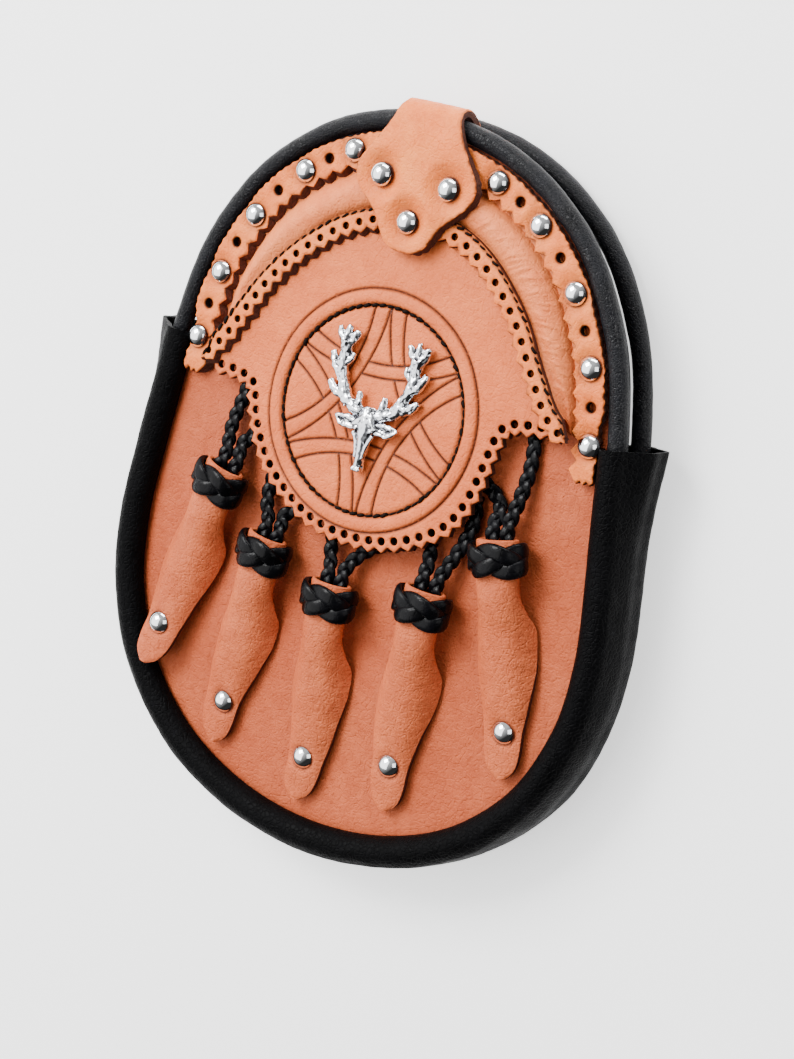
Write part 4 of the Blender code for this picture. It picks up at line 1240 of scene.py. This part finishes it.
def make_knot(name, place):
    """A three-strand Turk's head round the leaf's neck: one flat strap that goes three times round."""
    middle = CLEAR + KNOT_H / 2
    strap_w = 4.9 * MM
    strap_t = 2.2 * MM
    weave = 0.8 * MM
    bights = 4
    half_w = KNOT_W / 2 - strap_t / 2 - weave
    half_h = KNOT_H / 2 - strap_t / 2 - weave
    reach = (KNOT_L - strap_w) / 2 - 0.7 * MM
    turns = np.linspace(0, 2 * math.pi, 721)
    oval = np.column_stack([half_w * np.sin(turns), half_h * np.cos(turns)])
    phase = np.linspace(0, 6 * math.pi, 541)[:-1]
    spot = at(oval, (phase / (2 * math.pi)) % 1)
    normal = unit(spot / (half_w**2, half_h**2))
    out = weave * np.sin(2 * bights * phase / 3)
    along = reach * np.cos(bights * phase / 3) - KNOT_DROP
    path = np.column_stack([spot[:, 0] + normal[:, 0] * out, along, middle + spot[:, 1] + normal[:, 1] * out])
    up = np.column_stack([normal[:, 0], 0 * out, normal[:, 1]])
    rings = sweep(wrapped(path), 14, strap_w / 2, wrapped(up), strap_t / strap_w, 2.6)[1:-1]
    placed = moved(rings.reshape(-1, 3), place).reshape(rings.shape)
    return ringed(f"knot_{name}_braid", placed, BRAID_BLACK, 80, closed=True)


def leaf_shape(along):
    """Half width, edge and crown heights of the leaf at a share of its length."""
    table = smooth(LEAF_SHARES, steps=8)
    return [np.interp(along, table[:, 0], table[:, k]) for k in (1, 2, 3)]


def make_leaf(name, place, tip_lift):
    """The leaf: a neck rolled through the knot, opening into a curved blade with cut edges."""
    middle = CLEAR + KNOT_H / 2
    top_count, edge_count, bottom_count = 33, 4, 17
    wall = LEAF_WALL
    neck_top = KNOT_L / 2 - KNOT_DROP
    seed = 10 * float(name)
    turns = np.concatenate(
        [
            np.linspace(0, math.pi, top_count),
            math.pi + np.linspace(0.06, 0.24, edge_count),
            np.linspace(math.pi + 0.3, 2 * math.pi - 0.3, bottom_count),
            2 * math.pi - np.linspace(0.24, 0.06, edge_count),
        ]
    )
    across = np.cos(np.linspace(0, math.pi, top_count))
    across_low = np.cos(np.linspace(math.pi, 2 * math.pi, bottom_count + 2))[1:-1]
    bulge, bulge_low = [1 - np.abs(one) ** 2.6 for one in (across, across_low)]
    down = np.linspace(0.18, 0.82, edge_count)

    def neck(y, inset=0):
        width, height = NECK_W / 2 - inset, NECK_H / 2 - inset
        return np.column_stack([np.cos(turns) * width, 0 * turns + y, middle + np.sin(turns) * height])

    def blade(along):
        half, edge, crown = leaf_shape(along)
        half *= LEAF_W * (1 + 0.035 * noise.noise(Vector((along * 6, seed, 0))))
        raised = tip_lift * along**2
        side = NECK_H * edge + raised
        top = NECK_H * crown + raised
        thick = LEAF_T * (1 - 0.25 * ease(0.9, 1.0, along))
        low = max(side - thick, 0.5 * MM + raised)
        side = low + (side - low) * (0.06 + 0.94 * ease(0.3, 0.66, along))
        dome = side + (top - side) * bulge
        dome_low = low + (top - side) * bulge_low * 0.85
        dome_low = np.minimum(dome_low, side + (top - side) * bulge_low - 0.8 * MM)
        right = 0 * down + half * 0.99
        x = np.concatenate([half * across, -right, half * across_low * 0.96, right])
        z = np.concatenate([dome, side + (low - side) * down, dome_low, low + (side - low) * down])
        x += (1.2 * math.sin(along * 5 + seed) * MM) * ease(0.3, 0.9, along)
        y = -LEAF_L * along
        blend = ease(0.1, 0.34, along)
        return np.column_stack([x, 0 * x + y, z]) * blend + neck(y) * (1 - blend)

    # the neck's rows go up its hollow, round its rim and down its outside
    near_top = neck_top - 0.25 * MM
    below_top = neck_top - 1 * MM
    rows = [neck(0, wall + 0.1 * MM), neck(below_top, wall), neck(near_top, wall - 0.1 * MM)]
    rows += [neck(neck_top, wall / 2), neck(near_top, 0.1 * MM), neck(below_top), neck(0), neck(-KNOT_L / 2)]
    neck_rows = len(rows)
    stations = np.concatenate([np.linspace(0.105, 0.93, 74), 0.93 + 0.07 * np.sin(np.linspace(0.1, 1.5, 12))])
    rows = np.stack(rows + [blade(along) for along in stations])
    flat = rows[neck_rows:, :top_count].reshape(-1, 3)
    share = -flat[:, 1] / LEAF_L
    wrinkles = waves(flat * (1.0, 1.6, 1), 2.6 * MM, seed) * (0.35 + ease(-2 * MM, 7 * MM, flat[:, 0]))
    dent = waves(flat, 9 * MM, seed + 3)
    strength = ease(0.14, 0.3, share) * (1 - ease(0.55, 0.75, share))
    lift_by = 0.16 * MM * wrinkles * strength + 0.3 * MM * dent * ease(0.12, 0.25, share)
    away = np.hypot(flat[:, 0], flat[:, 1] + LEAF_L * LEAF_RIVET)
    lift_by += -0.55 * MM * (1 - ease(3.3 * MM, 5.6 * MM, away))
    flat[:, 2] += lift_by
    rows[neck_rows:, :top_count] = flat.reshape(len(stations), top_count, 3)
    shade = np.zeros(rows.shape[:2])
    # painted shade under the leaf rivet's rim
    rivet_rim_shade = 0.8 * (1 - ease(3.4 * MM, 4.2 * MM, away))
    shade[neck_rows:, :top_count] = rivet_rim_shade.reshape(len(stations), top_count)
    # painted shade inside the rolled neck's hollow
    shade[:2] = 0.95
    count = rows.shape[1]
    faces = ring_faces(len(rows), count)
    first_cut = neck_rows + 13
    looks = [int(i % count >= top_count - 1 and i // count >= first_cut) for i in range(len(faces))]
    last = (len(rows) - 1) * count
    faces += [tuple(range(count))[::-1], tuple(last + i for i in range(count))]
    points = moved(rows.reshape(-1, 3), place)
    piece = show(f"leaf_{name}_leather", points, faces, [LEAF_TAN, EDGE], looks + [1, 1], shade.ravel(), 42)
    outwards(piece)
    return piece


def make_tassels():
    for name, (x, y, lean, tip_lift) in TASSELS.items():
        place = tassel_place(x, y, lean)
        dress(make_knot(name, place), "black_leather", f"knot_{name}")
        dress(make_leaf(name, place, tip_lift), "tan_leather", f"leaf_{name}")
        crown, before, after = [leaf_shape(LEAF_RIVET + step)[2] for step in (0, -0.03, 0.03)]
        height = NECK_H * crown + tip_lift * LEAF_RIVET**2
        slope = math.atan2(NECK_H * (before - after) - 0.12 * tip_lift * LEAF_RIVET, 0.06 * LEAF_L)
        seat = Matrix.Translation((0, -LEAF_L * LEAF_RIVET, height + 0.1 * MM))
        rivet(f"leaf_rivet_{name}", place @ seat @ Matrix.Rotation(slope, 4, "X"))


def make_legs():
    """Each tassel's two braided legs: three strands plaited flat."""
    swing = 1.15 * MM
    weave = 0.65 * MM
    strand = 1.22 * MM
    turn_length = 12.5 * MM
    for number, (name, route) in enumerate(CORD_ROUTES.items()):
        route = np.array(route) * MM
        lean = math.radians(TASSELS[name[5]][2])
        down = np.array((math.sin(lean), -math.cos(lean), 0))
        tail = route[-1] + down * 4.5 * MM + (0, 0, 0.7 * MM)
        path = smooth(np.vstack([route, tail]), steps=24)
        path = spaced(path, int(lengths(path)[-1] / (0.35 * MM)))
        ahead = unit(np.gradient(path, axis=0))
        side = unit(np.cross(ahead, UP))
        up = np.cross(side, ahead)
        flatten = np.clip((path[:, 2] - 0.3 * MM) / (2.0 * MM), 0.5, 1)
        pile = Pile()
        for strand_number in range(3):
            t = 2 * math.pi * lengths(path) / turn_length + strand_number * 2 * math.pi / 3 + number
            z = weave * np.sin(2 * t) * flatten
            line = path + side * (swing * np.sin(t))[:, None] + up * z[:, None]
            pile.add(lift(sweep(line, 14, strand, up, 0.52, 2.8)))
        dress(pile.piece(f"{name}_braid", BRAID_BLACK, 80), "black_leather", name)


# Badge

# The head from the muzzle up, in shares of the badge's height: up, half width, height of its ridge
HEAD_SHARES = (
    (-0.442, 0.026, 0.030), (-0.43, 0.040, 0.040), (-0.4, 0.043, 0.046), (-0.34, 0.040, 0.048),
    (-0.27, 0.046, 0.052), (-0.2, 0.062, 0.058), (-0.145, 0.084, 0.060), (-0.09, 0.096, 0.060),
    (-0.04, 0.094, 0.054), (0.0, 0.072, 0.044), (0.03, 0.035, 0.030),
)
BEAM = ((0.07, -0.02), (0.14, 0.005), (0.215, 0.05), (0.258, 0.15), (0.3, 0.26), (0.292, 0.36), (0.298, 0.44))
BEAM_RADII = (0.05, 0.05, 0.052, 0.046, 0.05, 0.046, 0.066)
# Each tine's root, middle and tip, then its radius
TINES = (
    ((0.1, -0.02), (0.103, 0.05), (0.106, 0.122), 0.034),
    ((0.225, 0.06), (0.31, 0.085), (0.376, 0.145), 0.042),
    ((0.285, 0.2), (0.35, 0.26), (0.395, 0.35), 0.042),
    ((0.27, 0.29), (0.235, 0.33), (0.222, 0.372), 0.03),
    ((0.305, 0.42), (0.35, 0.475), (0.374, 0.535), 0.042),
    ((0.3, 0.43), (0.296, 0.5), (0.29, 0.556), 0.038),
    ((0.29, 0.42), (0.245, 0.47), (0.214, 0.528), 0.042),
)
EAR_RADII = (0.018, 0.021, 0.018, 0.012)
# Two rims over the ear's bowl, brow, eye, cheekbone and nostril: points, height (share of the relief's
# half), radii and squash. A single point is a ball.
FEATURES = (
    (((0.085, -0.135), (0.17, -0.14), (0.225, -0.115), (0.262, -0.085)), 0.55, EAR_RADII, 0.9),
    (((0.085, -0.09), (0.15, -0.075), (0.215, -0.078), (0.262, -0.085)), 0.55, EAR_RADII, 0.9),
    (((0.08, -0.112), (0.16, -0.108), (0.24, -0.09)), 0, (0.03, 0.042, 0.016), 0.7),
    (((0.025, -0.05), (0.06, -0.085), (0.095, -0.12)), 0.95, (0.018, 0.022, 0.016), 0.9),
    (((0.062, -0.135),), 0.95, (0.021,), 0.9),
    (((0.08, -0.16), (0.045, -0.24), (0.03, -0.34)), 0.75, (0.018, 0.016, 0.012), 0.9),
    (((0.022, -0.42),), 0.8, (0.02,), 0.9),
)


def rod(pile, points, radii, squash=0.9, sides=10):
    points = smooth(points, steps=6)
    radii = smooth(np.reshape(radii, (-1, 1)), steps=6)[:, 0]
    pile.add(sweep(points, sides, radii, UP, squash))


def ball(pile, centre, radius):
    turns = np.linspace(0.05, math.pi - 0.05, 8)
    line = np.array(centre) + np.column_stack([0 * turns, -np.cos(turns), 0 * turns]) * radius
    pile.add(sweep(line, 10, radius * np.sin(turns), UP))


def cast_shapes(h, deep):
    """The overlapping shapes that the badge is cast from."""
    pile = Pile()
    head = smooth(HEAD_SHARES, steps=5) * h
    turns = turns_of(24)
    # the face's cross-section is a ridge with slanting cheeks
    ridge = np.abs(np.sin(turns)) ** 1.5 * np.sign(np.sin(turns))
    rings = [np.column_stack([w * np.cos(turns), 0 * turns + y, z * ridge]) for y, w, z in head]
    pile.add(np.stack(rings))
    for side in (-1, 1):

        def placed(points, height):
            return [(side * x * h, y * h, height) for x, y in points]

        rod(pile, placed(BEAM, 0), [r * h for r in BEAM_RADII], 0.85, 12)
        for root, middle, tip, r in TINES:
            rod(pile, placed((root, middle, tip), 0.1 * deep), [r * h, 0.9 * r * h, 0.6 * r * h])
        for points, height, radii, squash in FEATURES:
            spots = placed(points, height * deep)
            if len(spots) == 1:
                ball(pile, spots[0], radii[0] * h)
            else:
                rod(pile, spots, [r * h for r in radii], squash)
    rod(pile, [(0, -0.07 * h, deep), (0, -0.2 * h, 1.05 * deep), (0, -0.38 * h, 0.9 * deep)], [0.014 * h] * 3)
    return pile


def hollowness(mesh, points, normals, rounds):
    """How far each point lies below its neighbours, in metres, averaged over a few rounds."""
    ends = np.array([edge.vertices[:] for edge in mesh.edges])
    count = np.bincount(ends.ravel(), minlength=len(points))[:, None]
    sums = np.zeros_like(points)
    np.add.at(sums, ends[:, 0], points[ends[:, 1]])
    np.add.at(sums, ends[:, 1], points[ends[:, 0]])
    found = np.sum((sums / count - points) * normals, axis=1)
    for _ in range(rounds):
        total = np.zeros(len(points))
        np.add.at(total, ends[:, 0], found[ends[:, 1]])
        np.add.at(total, ends[:, 1], found[ends[:, 0]])
        found = 0.5 * found + 0.5 * total / count[:, 0]
    return found


def make_badge():
    """A cast stag's head: a tapering muzzle, ears, and antlers whose tines end in rough points."""
    deep = BADGE_RELIEF / 2
    rough = cast_shapes(BADGE_H, deep).piece("badge_shapes", CAST_CHROME, 80)
    remesh = rough.modifiers.new("join", "REMESH")
    remesh.mode = "VOXEL"
    remesh.voxel_size = 0.24 * MM
    round_off = rough.modifiers.new("round", "SMOOTH")
    round_off.factor = 0.5
    round_off.iterations = 2
    joined = bpy.data.meshes.new_from_object(rough.evaluated_get(bpy.context.evaluated_depsgraph_get()))
    bpy.data.objects.remove(rough)
    points = np.array([v.co[:] for v in joined.vertices])
    normals = np.array([v.normal[:] for v in joined.vertices])
    hammered = waves(points, 1.5 * MM, 52)
    chips = waves(points, 0.7 * MM, 51)
    on_face = ease(0.11, 0.07, np.abs(points[:, 0]) / BADGE_H) * ease(0.02, -0.03, points[:, 1] / BADGE_H)
    strength = 1 - 0.4 * on_face
    points += normals * (strength * (0.34 * MM * hammered + 0.09 * MM * chips))[:, None]
    points[:, 2] = np.clip(points[:, 2], -deep, 1.6 * deep)
    grime_and_painted_shade = ease(0, 0.014 * MM, hollowness(joined, points, normals, 2))
    faces = [tuple(p.vertices) for p in joined.polygons]
    bpy.data.meshes.remove(joined)
    middle = lift([(BADGE_X, MEDALLION_Y, CLEAR + FLAP_T + CLEAR + deep)])[0]
    seat = FLAP_PLACE @ Matrix.Translation(middle)
    badge = show("badge_cast", moved(points, seat), faces, [CAST_CHROME], dark=grime_and_painted_shade, sharp=80)
    dress(badge, "bright_metal", "badge")


# Stitches and loops


def stitch_run(pile, line, place, height, length, gap, radius):
    """Stitches along a line: each a short thread that dips into the leather at both ends."""
    total = lengths(line)[-1]
    count = int(total / (length + gap))
    for i in range(count):
        start = i * total / count
        spots = at(line, (start + np.linspace(0, length, 7)) / total)
        change = waves(spots[:1], 1.3 * MM, 71)[0]
        swing = beside(spots, np.linspace(-0.3, 0.3, 7) * MM * (1 + change)) - spots
        rise = np.sin(np.linspace(0, math.pi, 7)) ** 0.5
        path = place(np.column_stack([spots + swing, height + radius * (rise * (1.4 + 0.6 * change) - 1.2)]))
        pile.add(sweep(path, 8, radius * (0.75 + 0.25 * rise) * (1 + 0.6 * change), UP, 0.85))


def make_stitches():
    centre = (TOOLED_X, MEDALLION_Y)
    ring = Pile()
    line = closed_loop(circle(centre, STITCH_R, 240))
    stitch_run(ring, line, on_flap, CLEAR + FLAP_T - 0.35 * MM, 2.3 * MM, 0.4 * MM, 0.52 * MM)
    dress(ring.piece("medallion_stitches", DARK_THREAD, 80), "black_leather")
    seam = Pile()
    height = FLAP_T + 2 * CLEAR + INNER_BAND_T - 0.2 * MM
    stitch_run(seam, seam_line(), on_flap, height, 2.3 * MM, 0.8 * MM, 0.4 * MM)
    dress(seam.piece("band_stitches", DARK_THREAD, 80), "black_leather")


def make_loops():
    half = LOOP_L / 2
    raised = half - LOOP_PAD
    foot = raised + 3 * MM
    line = smooth([(-half, 0), (-foot, 0), (-raised, 1), (0, 1.04), (raised, 1), (foot, 0), (half, 0)])
    line[:, 1] = np.clip(line[:, 1], 0, 1.04)
    across = np.linspace(-1, 1, 15)
    for side, letter in SIDES:
        rows = []
        for along, up in line:
            near = BACK_FACE - CLEAR - up * (LOOP_GAP - CLEAR)
            taper = 1 - 0.04 * (abs(along) > half - 0.5 * MM)
            x = side * LOOP_X + across * taper * LOOP_W / 2
            rounded = 0.35 * MM * np.abs(across) ** 8
            y = 0 * x + LOOP_Y + along
            upper = np.column_stack([x, y, near - rounded])
            lower = np.column_stack([x, y, near - LOOP_T + rounded])[::-1]
            rows.append(lift(np.vstack([upper, lower])))
        name = f"back_loop_{letter}"
        dress(ringed(f"{name}_leather", np.stack(rows), BACK_BLACK, 50), "black_leather", name)


# Camera, lights and floor


CAMERA_PLACE = (0.3555, 0.1391, 0.6174)
CAMERA_TURN = Vector((0.1582, -0.5383, -0.2373))  # rotation vector from the pouch's axes to the camera's
CAMERA_LENS = 80.3


def camera_matrix():
    turn = Matrix.Rotation(-CAMERA_TURN.length, 4, CAMERA_TURN)
    return Matrix.Translation(CAMERA_PLACE) @ turn


def make_camera():
    data = bpy.data.cameras.new("camera")
    data.lens = CAMERA_LENS
    data.sensor_width = 36
    data.clip_start = 0.01
    camera = add_object("camera", data)
    camera.matrix_world = camera_matrix()
    bpy.context.scene.camera = camera


def area_light(name, direction, distance, size, power):
    """A soft box that looks at the pouch from a direction given in the picture: right, up, towards us."""
    ahead = (camera_matrix().to_3x3() @ Vector(direction)).normalized()
    data = bpy.data.lights.new(name, "AREA")
    data.shape = "RECTANGLE"
    data.size, data.size_y = size
    data.energy = power
    turn = ahead.to_track_quat("Z", "Y").to_matrix().to_4x4()
    add_object(name, data).matrix_world = Matrix.Translation(ahead * distance) @ turn


def make_light():
    area_light("key", (-0.95, 0.75, 0.75), 1.2, (0.6, 0.55), 20)
    area_light("side", (-1.0, 0.2, 0.5), 1.1, (1.9, 1.7), 25)
    area_light("fill", (0.5, -0.1, 1.0), 1.2, (0.7, 0.6), 3)
    area_light("top", (0.15, 1.0, 0.45), 1.0, (0.7, 0.2), 6)
    world = bpy.data.worlds.new("studio")
    bpy.context.scene.world = world
    world.use_nodes = True
    tree = world.node_tree
    where = tree.nodes.new("ShaderNodeTexCoord").outputs["Generated"]
    up_left = tuple(camera_matrix().to_3x3() @ Vector((-0.6, 0.75, 0.2)))
    side = node(tree, "ShaderNodeVectorMath", {"operation": "DOT_PRODUCT"}, i0=where, i1=up_left)
    glow = ramp(tree, side.outputs["Value"], -0.35, 0.6, 0.03, 0.6)
    connect(tree, tree.nodes["Background"], Color=(1, 1, 1, 1), Strength=glow)


def make_floor():
    mesh = bpy.data.meshes.new("floor")
    size = 3.0
    corners = [(-size, -size, 0), (size, -size, 0), (size, size, 0), (-size, size, 0)]
    mesh.from_pydata(corners, [], [(0, 1, 2, 3)])
    made, tree, shader = new_material("floor_paper")
    tone = noise_at(tree, place_of(tree), 200 * MM, 2)
    paper = mix(tree, tone, (0.93, 0.93, 0.93, 1), (0.95, 0.95, 0.95, 1))
    connect(
        tree, shader, Base_Color=paper, Roughness=0.9, Emission_Color=(1, 1, 1, 1), Emission_Strength=1.1
    )
    mesh.materials.append(made)
    add_object("floor", mesh)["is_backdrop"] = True


def main():
    make_camera()
    make_light()
    make_floor()
    make_panels()
    make_pipings()
    make_gusset()
    make_outer_band()
    make_crescent()
    make_flap()
    make_inner_band()
    make_tab()
    make_rivets()
    make_tassels()
    make_legs()
    make_badge()
    make_stitches()
    make_loops()


main()
boxes = {"cad": cad_box, "visual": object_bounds()}
{name: [list(corner) for corner in box] for name, box in boxes.items()}
